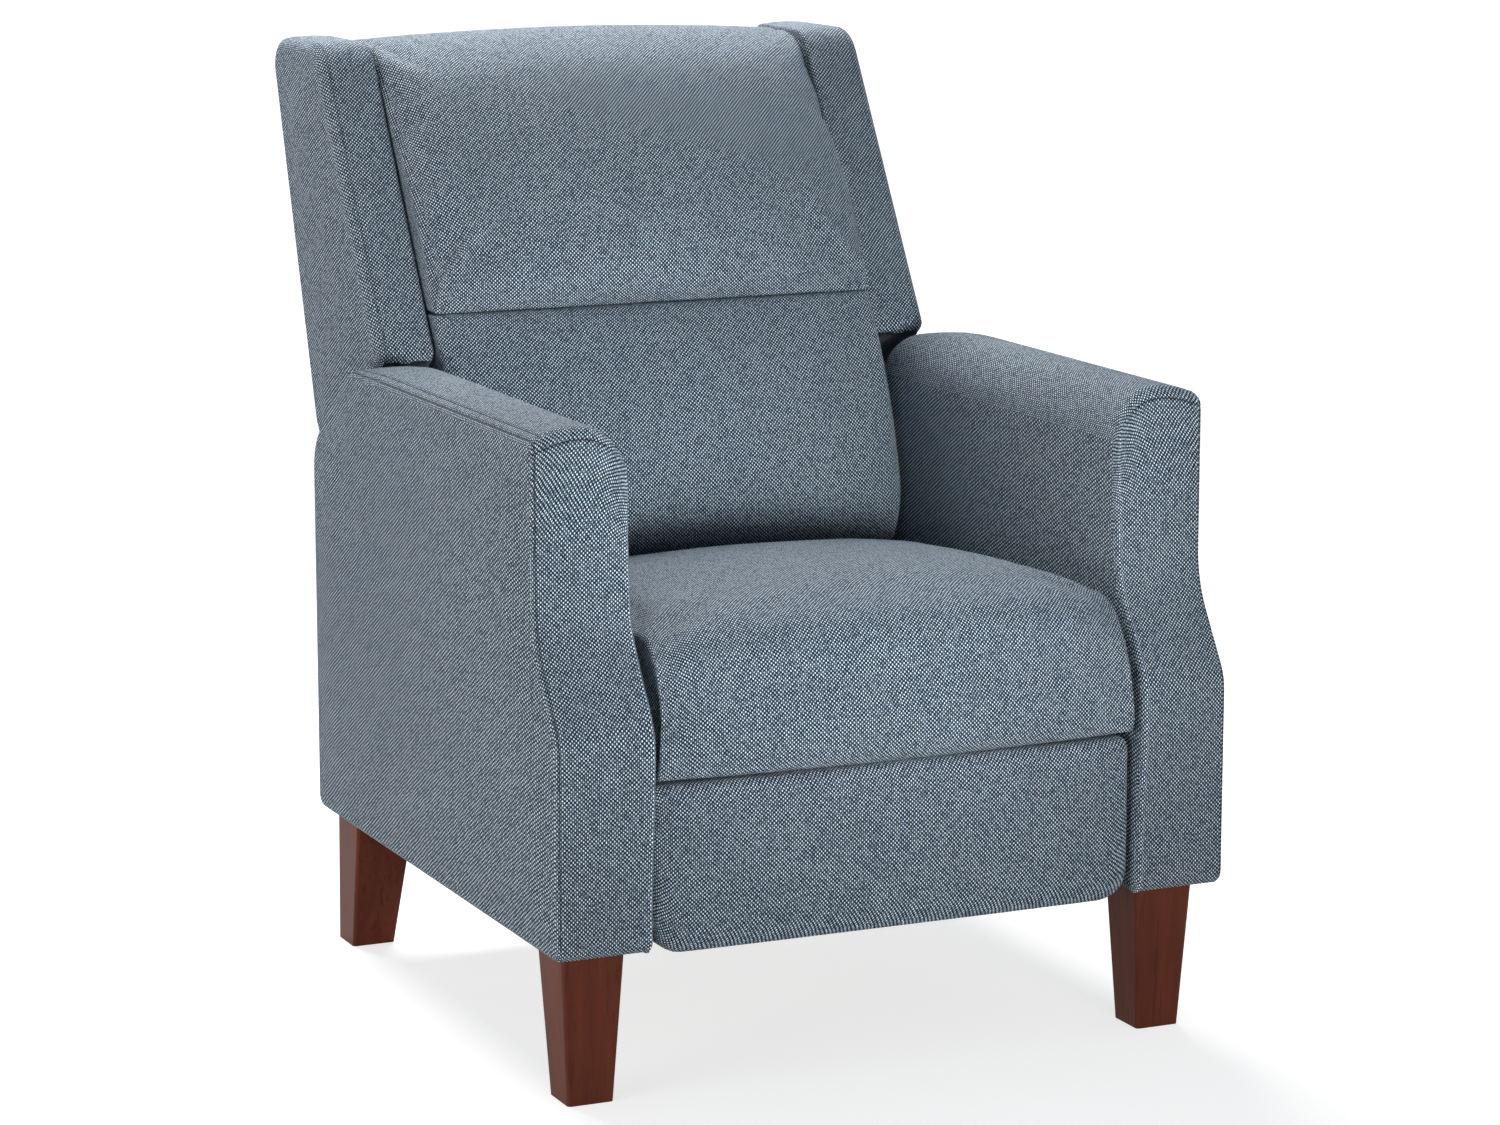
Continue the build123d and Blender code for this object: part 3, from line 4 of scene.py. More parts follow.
import bmesh
import bpy
import numpy as np
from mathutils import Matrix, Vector


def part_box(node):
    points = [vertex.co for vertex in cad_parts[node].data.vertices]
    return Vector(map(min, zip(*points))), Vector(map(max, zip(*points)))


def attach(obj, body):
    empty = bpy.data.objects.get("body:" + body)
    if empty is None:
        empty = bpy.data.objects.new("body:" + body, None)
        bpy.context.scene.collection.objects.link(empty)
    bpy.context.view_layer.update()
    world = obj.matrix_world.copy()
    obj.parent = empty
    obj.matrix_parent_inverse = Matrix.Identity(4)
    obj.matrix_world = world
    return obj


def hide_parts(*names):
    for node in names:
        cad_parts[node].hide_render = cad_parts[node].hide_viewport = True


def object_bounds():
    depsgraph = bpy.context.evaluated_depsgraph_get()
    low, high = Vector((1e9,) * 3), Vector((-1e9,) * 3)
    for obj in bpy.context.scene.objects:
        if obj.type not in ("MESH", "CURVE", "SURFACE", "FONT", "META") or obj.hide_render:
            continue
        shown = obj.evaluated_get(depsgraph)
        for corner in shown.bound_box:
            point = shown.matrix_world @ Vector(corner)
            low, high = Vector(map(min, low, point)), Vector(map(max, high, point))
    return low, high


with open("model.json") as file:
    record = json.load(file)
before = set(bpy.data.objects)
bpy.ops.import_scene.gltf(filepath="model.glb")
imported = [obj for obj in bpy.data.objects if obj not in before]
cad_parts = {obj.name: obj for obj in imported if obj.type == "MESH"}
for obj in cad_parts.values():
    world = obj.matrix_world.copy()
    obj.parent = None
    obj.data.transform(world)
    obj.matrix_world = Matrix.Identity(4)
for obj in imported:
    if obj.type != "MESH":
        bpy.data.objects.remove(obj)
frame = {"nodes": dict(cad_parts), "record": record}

CAD_LOW, CAD_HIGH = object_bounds()
SCENE = bpy.context.scene
SIDES = (("left", -1), ("right", 1))
MM = 0.001

ARM_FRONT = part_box("left_arm_cover")[0].y
ARM_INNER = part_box("right_arm_cover")[0].x
ARM_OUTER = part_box("right_arm_cover")[1].x
WING_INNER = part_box("right_wing")[0].x
WING_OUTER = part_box("right_wing")[1].x


def at(depth, height):
    """(y, z) in metres of a point given in millimetres: depth back from the arms' lower front, and height."""
    return (ARM_FRONT + depth * MM, height * MM)


# Outlines

ARC_STEP = 0.004
CORNER_SHARE = 0.49      # the most of an edge that a corner's rounding takes up
SHORTEST_STEP = 0.0005
TANGENT_REACH = 0.003
WAVE_COUNT = 7
LAST_PHASE = 6.28        # about a full turn


def rounded(points, radii):
    """A closed outline through points with rounded corners, as an array of points."""
    pts = [np.array(p, float) for p in points]
    out = []
    for i, p in enumerate(pts):
        before, after = pts[i - 1], pts[(i + 1) % len(pts)]
        a, b = before - p, after - p
        la, lb = np.linalg.norm(a), np.linalg.norm(b)
        a, b = a / la, b / lb
        half = math.acos(max(-1.0, min(1.0, float(a @ b)))) / 2
        reach = min(radii[i] / math.tan(half), CORNER_SHARE * la, CORNER_SHARE * lb)
        radius = reach * math.tan(half)
        if radius < 1e-6:
            out.append(p)
            continue
        bisector = (a + b) / np.linalg.norm(a + b)
        centre = p + bisector * radius / math.sin(half)
        start, end = p + a * reach - centre, p + b * reach - centre
        turn = math.atan2(start[0] * end[1] - start[1] * end[0], start @ end)
        count = max(3, int(abs(turn) * radius / ARC_STEP) + 1)
        for k in range(count + 1):
            c, s = math.cos(turn * k / count), math.sin(turn * k / count)
            out.append(centre + np.array([c * start[0] - s * start[1], s * start[0] + c * start[1]]))
    return np.array(out)


def lengths_along(line):
    """Length from the first point of a line to each of its points."""
    steps = np.linalg.norm(np.diff(line, axis=0), axis=1)
    return np.concatenate([[0], np.cumsum(steps)])


def turned_out(normal, ring):
    """The normals of a closed ring, all turned to point out of it."""
    after = np.roll(ring, -1, axis=0)
    area = np.sum(ring[:, 0] * after[:, 1] - after[:, 0] * ring[:, 1])
    return -normal if area < 0 else normal


def walk(outline, spacing, extra=()):
    """Resamples a closed outline evenly by length, with extra lengths added.
    Gives the points, their outward normals, their lengths along the outline and its whole length."""
    closed = np.vstack([outline, outline[:1]])
    along = lengths_along(closed)
    total = along[-1]
    count = int(total / spacing)
    marks = np.concatenate([np.arange(count) * total / count, np.mod(extra, total)])
    marks = np.unique(np.round(marks, 6))
    marks = marks[np.concatenate([[True], np.diff(marks) > SHORTEST_STEP])]

    def places(lengths):
        return np.stack([np.interp(lengths, along, closed[:, k]) for k in (0, 1)], axis=1)

    ahead = places(np.mod(marks + TANGENT_REACH, total))
    behind = places(np.mod(marks - TANGENT_REACH, total))
    tangent = ahead - behind
    tangent /= np.linalg.norm(tangent, axis=1)[:, None]
    normal = np.stack([tangent[:, 1], -tangent[:, 0]], axis=1)
    return places(marks), turned_out(normal, outline), marks, total


def length_at(outline, point):
    """Length along a closed outline of the place nearest to a point."""
    along = lengths_along(np.vstack([outline, outline[:1]]))
    return float(along[np.argmin(np.linalg.norm(outline - np.array(point), axis=1))])


def smooth(low, high, value):
    """0 below low, 1 above high and an S-curve between them."""
    t = np.clip((np.asarray(value, float) - low) / (high - low), 0, 1)
    return t * t * (3 - 2 * t)


def behind_depth(start, end, y):
    """0 in front of the depth start, 1 behind the depth end, both in millimetres."""
    return smooth(at(start, 0)[0], at(end, 0)[0], y)


def ripple(points, size, seed):
    """Soft waves of about this size over the surface, between -1 and 1, the same on every run."""
    rng = np.random.default_rng(seed)
    total = np.zeros(len(points))
    for _ in range(WAVE_COUNT):
        direction = rng.normal(size=3)
        direction /= np.linalg.norm(direction)
        length = size * rng.uniform(0.7, 1.5)
        phase = rng.uniform(0, LAST_PHASE)
        total += np.sin(points @ direction * 2 * math.pi / length + phase)
    return total / WAVE_COUNT


# Meshes

PUFF_REACH = 0.06        # how far in from its edge a face goes on swelling
EDGE_STEPS = 6
SHORTEST_LEVEL = 0.0004
CAP_SHARES = [0.0, 0.12, 0.25, 0.38, 0.5, 0.62, 0.73, 0.82, 0.89, 0.94, 0.97, 0.988]
SIDE_WEAVE = np.array((0.6, 1.0))      # on the side faces the floats are longer from front to back
CLOTH_PRESSURE = 4.0
CLOTH_FRAMES = 20


def make_object(name, points, faces, uvs=None):
    mesh = bpy.data.meshes.new(name)
    mesh.from_pydata([tuple(p) for p in points], [], faces)
    mesh.validate()
    if uvs is not None:
        layer = mesh.uv_layers.new(name="weave")
        flat = np.array([uv for face in uvs for uv in face], np.float32)
        layer.data.foreach_set("uv", flat.ravel())
    mesh.polygons.foreach_set("use_smooth", [True] * len(mesh.polygons))
    obj = bpy.data.objects.new(name, mesh)
    SCENE.collection.objects.link(obj)
    return obj


def coordinates(obj):
    co = np.zeros(len(obj.data.vertices) * 3, np.float32)
    obj.data.vertices.foreach_get("co", co)
    return co.reshape(-1, 3).astype(float)


def set_coordinates(obj, co):
    obj.data.vertices.foreach_set("co", co.astype(np.float32).ravel())
    obj.data.update()


def skin(name, rings, marks, total, cap_uv, flat_ring, seam_shades):
    """A closed mesh over rings of equal length. The first and last rings are points.
    Faces between flat rings take their weave from cap_uv, the others run along the ring and across it."""
    steps = np.linalg.norm(np.diff(rings, axis=0), axis=2)
    steps[np.array(flat_ring[:-1]) | np.array(flat_ring[1:])] = 0
    band_u = np.vstack([np.zeros(rings.shape[1]), np.cumsum(steps, axis=0)])
    count = rings.shape[1]
    last = rings.shape[0] - 1
    points = [rings[0, 0]] + [p for ring in rings[1:last] for p in ring] + [rings[last, 0]]
    faces, uvs = [], []

    def index(r, i):
        if r == 0:
            return 0
        if r == last:
            return len(points) - 1
        return 1 + (r - 1) * count + i % count

    def uv(r, i, flat):
        if flat:
            return tuple(cap_uv[r, i % count])
        return (band_u[r, i % count], marks[i] if i < count else total)

    for r in range(last):
        flat = flat_ring[r] or flat_ring[r + 1]
        for i in range(count):
            corners = [(r, i), (r + 1, i), (r + 1, i + 1), (r, i + 1)]
            if r == 0:
                corners = [(0, i), (1, i), (1, i + 1)]
            elif r == last - 1:
                corners = [(r, i), (last, i), (r, i + 1)]
            faces.append([index(*c) for c in corners])
            uvs.append([uv(*c, flat) for c in corners])
    obj = make_object(name, points, faces, uvs)
    # painted shade for each point, at seams and crevices, negative where a highlight is painted
    dark = [seam_shades[0, 0]] + [v for ring in seam_shades[1:last] for v in ring] + [seam_shades[last, 0]]
    obj.data.attributes.new("seam", "FLOAT", "POINT").data.foreach_set("value", np.array(dark, np.float32))
    return obj


def inset(radius, reach):
    """How far a rounded edge falls back at a distance from the face it turns into."""
    gap = np.clip(radius - reach, 0, None)
    return radius - np.sqrt(np.clip(radius * radius - gap * gap, 0, None))


def edge_distance(points, ring):
    """Distance of each point from a closed ring."""
    near = np.full(len(points), 1e9)
    for a, b in zip(ring, np.roll(ring, -1, axis=0)):
        way = b - a
        share = np.clip((points - a) @ way / max(way @ way, 1e-12), 0, 1)
        near = np.minimum(near, np.linalg.norm(points - a - share[:, None] * way, axis=1))
    return near


def beside(side, inner):
    """Places a panel drawn in side view on one side of the chair, its thickness counted out from inner."""
    return lambda p, h: (side * (inner + h), p[0], p[1])


def padded_panel(name, outline, place, low, high, round_low, round_high, spacing=0.008, marks_extra=(),
                 cross_extra=(), cap_puff=(0.0, 0.0), band_puff=0.0, shape=None):
    """A padded panel: an outline pushed out from low to high, with rounded edges and puffed faces.
    round_low and round_high are edge radii. shape(ring, normal, marks, height) moves the points of the
    band and gives their new places with how much painted shade each gets at seams and crevices, negative
    where a highlight is painted."""
    points, normal, marks, total = walk(outline, spacing, marks_extra)
    depth = high - low
    turn = 1 - np.cos(np.linspace(0, math.pi / 2, EDGE_STEPS))
    stops = set(low + round_low * turn) | set(high - round_high * turn) | set(cross_extra)
    stops.update(np.linspace(low, high, max(3, int(depth / spacing))))
    levels = sorted(round(float(s), 5) for s in stops if low - 1e-9 <= s <= high + 1e-9)
    levels = [s for k, s in enumerate(levels) if k == 0 or s - levels[k - 1] > SHORTEST_LEVEL]

    def band(level):
        share = (level - low) / depth
        puff = band_puff * 4 * share * (1 - share)
        ring = points - normal * (inset(round_low, level - low) + inset(round_high, high - level) - puff)
        seam = np.zeros(len(ring))
        if shape is not None:
            ring, seam = shape(ring, normal, marks, level)
        return ring, seam

    rings, caps, ends, seam_shades = [], [], [], []

    def add_cap(level, puff, order):
        ring, _ = band(level)
        centre = ring.mean(axis=0)
        for f in order:
            flat = centre + (ring - centre) * f
            rise = level + puff * smooth(0, PUFF_REACH, edge_distance(flat, ring))
            rings.append(np.array([place(p, h) for p, h in zip(flat, rise)]))
            caps.append(flat)
            ends.append(True)
            seam_shades.append(np.zeros(len(ring)))

    add_cap(low, -cap_puff[0], CAP_SHARES)
    for level in levels:
        ring, seam = band(level)
        rings.append(np.array([place(p, level) for p in ring]))
        caps.append(ring)
        ends.append(False)
        seam_shades.append(seam)
    add_cap(high, cap_puff[1], CAP_SHARES[::-1])
    obj = skin(name, np.array(rings), marks, total, np.array(caps) * SIDE_WEAVE, ends, np.array(seam_shades))
    fix_normals(obj)
    return obj


def fix_normals(obj):
    """Turns all faces outwards."""
    mesh = bmesh.new()
    mesh.from_mesh(obj.data)
    bmesh.ops.recalc_face_normals(mesh, faces=mesh.faces)
    mesh.to_mesh(obj.data)
    mesh.free()


def inflate(obj, pinned, cap):
    """Blows the piece up as cloth, holding the pinned points, with no point moved by more than cap."""
    rest = coordinates(obj)
    group = obj.vertex_groups.new(name="pinned")
    group.add([int(i) for i in np.nonzero(pinned)[0]], 1.0, "REPLACE")
    cloth = obj.modifiers.new("cloth", "CLOTH")
    cloth.settings.quality = 4
    cloth.settings.mass = 0.3
    cloth.settings.tension_stiffness = 15
    cloth.settings.compression_stiffness = 15
    cloth.settings.shear_stiffness = 5
    cloth.settings.bending_stiffness = 0.5
    cloth.settings.use_pressure = True
    cloth.settings.uniform_pressure_force = CLOTH_PRESSURE
    cloth.settings.effector_weights.gravity = 0
    cloth.settings.vertex_group_mass = "pinned"
    cloth.point_cache.frame_start = 1
    cloth.point_cache.frame_end = CLOTH_FRAMES
    for number in range(1, CLOTH_FRAMES + 1):
        SCENE.frame_set(number)
    shown = obj.evaluated_get(bpy.context.evaluated_depsgraph_get())
    moved = np.zeros(len(shown.data.vertices) * 3, np.float32)
    shown.data.vertices.foreach_get("co", moved)
    move = moved.reshape(-1, 3).astype(float) - rest
    obj.modifiers.remove(cloth)
    obj.vertex_groups.remove(group)
    SCENE.frame_set(1)
    length = np.linalg.norm(move, axis=1)
    move *= (np.tanh(length / cap) * cap / np.maximum(length, 1e-9))[:, None]
    set_coordinates(obj, rest + move)


# Materials

class Tree:
    """Short names for building a node material."""

    def __init__(self, name):
        self.material = bpy.data.materials.new(name)
        self.material.use_nodes = True
        self.tree = self.material.node_tree
        self.shader = self.tree.nodes["Principled BSDF"]

    def node(self, kind, **settings):
        made = self.tree.nodes.new(kind)
        for key, value in settings.items():
            setattr(made, key, value)
        return made

    def join(self, source, target, key):
        """Links a socket to an input, or sets the input to a value."""
        if isinstance(source, bpy.types.NodeSocket):
            self.tree.links.new(source, target.inputs[key])
        else:
            target.inputs[key].default_value = source

    def math(self, operation, a, b=0.0, clamp=False):
        made = self.node("ShaderNodeMath", operation=operation, use_clamp=clamp)
        self.join(a, made, 0)
        self.join(b, made, 1)
        return made.outputs[0]

    def scaled(self, value, factor, offset, clamp=False):
        """value times factor plus offset."""
        return self.math("ADD", self.math("MULTIPLY", value, factor), offset, clamp)

    def weighted(self, a, share_a, b, share_b, clamp=False):
        """a times its share plus b times its share."""
        return self.math("ADD", self.math("MULTIPLY", a, share_a), self.math("MULTIPLY", b, share_b), clamp)

    def vector(self, operation, a, b=(0, 0, 0)):
        made = self.node("ShaderNodeVectorMath", operation=operation)
        self.join(a, made, 0)
        self.join(b, made, 1)
        return made.outputs[0]

    def mix(self, share, a, b):
        made = self.node("ShaderNodeMix", data_type="RGBA")
        self.join(share, made, 0)
        self.join(a, made, 6)
        self.join(b, made, 7)
        return made.outputs[2]

    def noise(self, vector, scale, detail=2.0, roughness=0.5):
        made = self.node("ShaderNodeTexNoise")
        self.join(vector, made, "Vector")
        made.inputs["Scale"].default_value = scale
        made.inputs["Detail"].default_value = detail
        made.inputs["Roughness"].default_value = roughness
        return made.outputs[0]

    def ramp(self, value, stops):
        made = self.node("ShaderNodeValToRGB")
        self.join(value, made, 0)
        ramp = made.color_ramp
        while len(ramp.elements) < len(stops):
            ramp.elements.new(0.5)
        for element, (place, colour) in zip(ramp.elements, stops):
            element.position = place
            element.color = (*colour, 1.0)
        return made.outputs[0]

    def bump(self, height, strength, distance, normal=None):
        made = self.node("ShaderNodeBump")
        made.inputs["Strength"].default_value = strength
        made.inputs["Distance"].default_value = distance
        self.join(height, made, "Height")
        if normal is not None:
            self.join(normal, made, "Normal")
        return made.outputs[0]

    def smoothstep(self, value, low, high):
        """An S-curve from 0 at low to 1 at high."""
        made = self.node("ShaderNodeMapRange", interpolation_type="SMOOTHSTEP")
        self.join(value, made, "Value")
        made.inputs["From Min"].default_value = low
        made.inputs["From Max"].default_value = high
        return made.outputs[0]

    def object_coordinates(self):
        return self.node("ShaderNodeTexCoord").outputs["Object"]


HOLLOW = 0.04            # light left in the gaps between floats
SEAM_SHADE = 0.8         # how much the painted shade in seams and crevices darkens the fabric


def woven(name, pitch, dark, middle, light, threads="weave", bump=0.6, sheen=0.2, contrast=0.28):
    """A plain weave of mixed yarns. Each crossing shows a short float of one yarn, in that yarn's own shade.
    contrast is the share of the shade that depends on which of the two yarns lies on top."""
    t = Tree(name)
    if threads == "weave":
        source = t.node("ShaderNodeUVMap", uv_map="weave").outputs[0]
    else:
        source = t.object_coordinates()
    # the yarns wander by up to half a pitch
    wobble = t.node("ShaderNodeTexNoise")
    t.join(source, wobble, "Vector")
    wobble.inputs["Scale"].default_value = 70.0
    wobble.inputs["Detail"].default_value = 2.0
    drift = t.vector("SUBTRACT", wobble.outputs[1], (0.5, 0.5, 0.5))
    counted = t.vector("SCALE", source)
    counted.node.inputs["Scale"].default_value = 1 / pitch
    split = t.node("ShaderNodeSeparateXYZ")
    t.join(t.vector("ADD", counted, drift), split, 0)
    across, along = split.outputs[0], split.outputs[1]
    cell_a, cell_b = t.math("FLOOR", across), t.math("FLOOR", along)
    parity = t.math("MODULO", t.math("ABSOLUTE", t.math("ADD", cell_a, cell_b)), 2.0)
    over = t.math("GREATER_THAN", parity, 0.5)
    under = t.math("SUBTRACT", 1.0, over)
    # shade of the warp and weft yarns, each float with its own value
    place = t.node("ShaderNodeCombineXYZ")
    t.join(cell_a, place, 0)
    t.join(cell_b, place, 1)
    random = t.node("ShaderNodeTexWhiteNoise", noise_dimensions="3D")
    t.join(place.outputs[0], random, "Vector")
    clumps = t.noise(source, 0.55 / pitch, 2.0, 0.6)
    mottle = t.scaled(t.math("SUBTRACT", clumps, 0.5), 2.4, 0.5, clamp=True)
    own = t.weighted(random.outputs[0], 0.75, mottle, 0.25)
    shade = t.weighted(own, 1.0 - contrast, over, contrast, clamp=True)
    yarn = t.ramp(shade, ((0.22, dark), (0.50, middle), (0.80, light)))
    # each float is rounded across and dives under at its ends, which leaves dark gaps at the corners
    ridge_a = t.math("SINE", t.math("MULTIPLY", t.math("FRACT", across), math.pi))
    ridge_b = t.math("SINE", t.math("MULTIPLY", t.math("FRACT", along), math.pi))
    width = t.weighted(over, ridge_a, under, ridge_b)
    ends = t.weighted(over, ridge_b, under, ridge_a)
    height = t.math("MULTIPLY", t.math("POWER", width, 0.8), t.scaled(ends, 0.45, 0.55))
    gaps = t.scaled(t.smoothstep(height, 0.40, 0.80), 1.0 - HOLLOW, HOLLOW)
    # slow changes of tone, edges lighter and hollows darker, and painted shade in seams
    tone = t.scaled(t.noise(t.object_coordinates(), 5.0, 3.0, 0.55), 0.16, 0.92)
    # convex edges lighter, partly as wear and partly as a painted rim highlight; hollows darker as painted
    # shade
    edge = t.node("ShaderNodeNewGeometry").outputs["Pointiness"]
    edge_wear_and_painted_light = t.scaled(t.math("SUBTRACT", edge, 0.5), 2.2, 1.0)
    factor = t.math("MULTIPLY", t.math("MULTIPLY", gaps, tone), edge_wear_and_painted_light)
    if threads == "weave":
        # painted shade from the seam attribute: seams and the wing's crevice darker, the arm's front fold
        # lighter as a painted highlight
        seam = t.node("ShaderNodeAttribute", attribute_name="seam").outputs["Fac"]
        factor = t.math("MULTIPLY", factor, t.math("SUBTRACT", 1.0, t.math("MULTIPLY", seam, SEAM_SHADE)))
    colour = t.vector("SCALE", yarn)
    t.join(factor, colour.node, "Scale")
    t.join(colour, t.shader, "Base Color")
    t.join(t.scaled(clumps, 0.2, 0.74), t.shader, "Roughness")
    t.shader.inputs["Sheen Weight"].default_value = sheen
    t.shader.inputs["Sheen Roughness"].default_value = 0.5
    t.shader.inputs["Sheen Tint"].default_value = (0.65, 0.80, 1.0, 1)
    t.shader.inputs["Specular IOR Level"].default_value = 0.12
    slub = t.bump(clumps, 0.25, 0.0012)
    t.join(t.bump(height, bump, pitch * 0.4, slub), t.shader, "Normal")
    return t.material


def timber(name, dark, light, gloss, scale, coat=0.0):
    """Wood with its grain along Z, fine pores and a slow change of tone."""
    t = Tree(name)
    place = t.object_coordinates()
    stretched = t.vector("MULTIPLY", place, (scale, scale, scale * 0.045))
    grain = t.noise(stretched, 1.0, 6.0, 0.62)
    pores = t.noise(t.vector("MULTIPLY", place, (scale * 6, scale * 6, scale * 0.2)), 1.0, 2.0, 0.5)
    slow = t.noise(place, 9.0, 2.0)
    value = t.weighted(grain, 0.7, slow, 0.3, clamp=True)
    colour = t.ramp(value, ((0.30, dark), (0.72, light)))
    in_pore = t.math("MULTIPLY", t.math("GREATER_THAN", pores, 0.62), 0.35)
    pore_colour = (*[c * 0.45 for c in dark], 1)
    t.join(t.mix(in_pore, colour, pore_colour), t.shader, "Base Color")
    t.join(t.scaled(grain, 0.2, gloss), t.shader, "Roughness")
    t.shader.inputs["Coat Weight"].default_value = coat
    t.shader.inputs["Coat Roughness"].default_value = 0.25
    t.shader.inputs["Specular IOR Level"].default_value = 0.10
    t.join(t.bump(t.math("ADD", grain, pores), 0.12, 0.0006), t.shader, "Normal")
    return t.material


def rigid(name, dark, light, rough, metallic):
    """Enamelled steel, zinc or moulded plastic, with fine mottling."""
    t = Tree(name)
    place = t.object_coordinates()
    spots = t.noise(place, 120.0, 4.0, 0.6)
    slow = t.noise(place, 14.0, 2.0)
    value = t.weighted(spots, 0.6, slow, 0.4, clamp=True)
    t.join(t.ramp(value, ((0.32, dark), (0.70, light))), t.shader, "Base Color")
    t.join(t.scaled(spots, 0.25, rough), t.shader, "Roughness")
    t.shader.inputs["Metallic"].default_value = metallic
    t.join(t.bump(spots, 0.1, 0.0004), t.shader, "Normal")
    return t.material


TWEED = woven("tweed", 0.0021, (0.010, 0.030, 0.066), (0.145, 0.208, 0.285), (0.650, 0.740, 0.800),
              sheen=0.06, contrast=0.54)
THREAD = woven("thread", 0.0005, (0.040, 0.055, 0.085), (0.090, 0.120, 0.165), (0.170, 0.210, 0.265),
               "object", 0.3)
LOOKS = {
    "dark_stained_wood": timber("dark_stained_wood", (0.058, 0.0125, 0.0066), (0.135, 0.0315, 0.0146),
                                0.42, 46.0, 0.02),
    "frame_timber": timber("frame_timber", (0.34, 0.22, 0.11), (0.62, 0.46, 0.28), 0.6, 40.0),
    "webbing": woven("webbing", 0.0016, (0.015, 0.015, 0.015), (0.045, 0.045, 0.045), (0.11, 0.11, 0.11),
                     "object"),
    "dust_cover": woven("dust_cover", 0.0009, (0.008, 0.008, 0.009), (0.018, 0.018, 0.02), (0.04, 0.04, 0.04),
                        "object"),
    "zinc_fasteners": rigid("zinc_fasteners", (0.40, 0.40, 0.38), (0.66, 0.66, 0.64), 0.25, 1.0),
    "black_plastic": rigid("black_plastic", (0.018, 0.018, 0.019), (0.05, 0.05, 0.052), 0.45, 0.0),
    "black_enamel_steel": rigid("black_enamel_steel", (0.012, 0.012, 0.014), (0.036, 0.036, 0.04), 0.38, 0.0),
}


def dress(obj, body, nodes=(), material=TWEED):
    """Finishes a new piece: its material, the body it rides on and the CAD nodes that it stands for."""
    obj.data.materials.clear()
    obj.data.materials.append(material)
    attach(obj, body)
    if nodes:
        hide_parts(*nodes)


STITCH_LENGTH = 0.0042
STITCH_GAP = 0.0022
STITCH_RADIUS = 0.00055
STITCH_SIDES = 6
STITCH_RINGS = 5


def stitches(name, path, normals, body):
    """A row of sewn stitches along a path on the surface, one short bowed thread for each."""
    path, normals = np.array(path, float), np.array(normals, float)
    along = lengths_along(path)
    points, faces = [], []
    start = 0.0
    sides, rings = STITCH_SIDES, STITCH_RINGS
    while start + STITCH_LENGTH < along[-1]:
        marks = start + np.linspace(0, STITCH_LENGTH, rings)
        centre = np.stack([np.interp(marks, along, path[:, k]) for k in range(3)], axis=1)
        up = np.stack([np.interp(marks, along, normals[:, k]) for k in range(3)], axis=1)
        up /= np.linalg.norm(up, axis=1)[:, None]
        forward = centre[-1] - centre[0]
        forward /= np.linalg.norm(forward)
        side = np.cross(forward, up)
        bow = np.sin(np.linspace(0.25, math.pi - 0.25, rings))
        base = len(points)
        for k in range(rings):
            middle = centre[k] + up[k] * STITCH_RADIUS * (1.6 * bow[k] - 0.9)
            thick = STITCH_RADIUS * (0.55 + 0.45 * bow[k])
            for n in range(sides):
                turn = 2 * math.pi * n / sides
                points.append(middle + thick * (math.cos(turn) * up[k] + math.sin(turn) * side[k]))
        for k in range(rings - 1):
            for n in range(sides):
                a, b = base + k * sides + n, base + k * sides + (n + 1) % sides
                faces.append([a, b, b + sides, a + sides])
        faces.append([base + n for n in range(sides)][::-1])
        faces.append([base + (rings - 1) * sides + n for n in range(sides)])
        start += STITCH_LENGTH + STITCH_GAP
    obj = make_object(name, points, faces)
    fix_normals(obj)
    dress(obj, body, material=THREAD)


# Arms

ARM_CORNERS = [at(0, 155), at(0, 372), at(57, 462), at(57, 651), at(583, 651), at(701, 559), at(701, 155)]
ARM_LINE = rounded(ARM_CORNERS, [0.014, 0.050, 0.110, 0.012, 0.045, 0.060, 0.014])
ARM_WIDTH = ARM_OUTER - ARM_INNER
ARM_CLEARANCE = 0.0003
ARM_EDGE_IN, ARM_EDGE_OUT = 0.006, 0.008
ARM_DROP = 0.040         # radius of the rounded inner edge of the top
ARM_DOME = 0.012
ARM_BELLY = 0.009
FRONT_SEAM = length_at(ARM_LINE, at(57, 640))
TOP_START = length_at(ARM_LINE, at(66, 651))
SLOPE_END = length_at(ARM_LINE, at(700, 500))
UPPER_SEAM, EDGE_SEAM = 0.0125, 0.0040      # distances of the sewn lines from the outer face
SEAM_WIDTH = 0.0020
SEAM_DEPTH = 0.0015
SIDE_PUFF = (0.0, 0.004)


def dip(distance, width):
    """A sewn groove: 1 on the seam and 0 beyond width."""
    return np.clip(1 - np.abs(distance) / width, 0, 1) ** 2


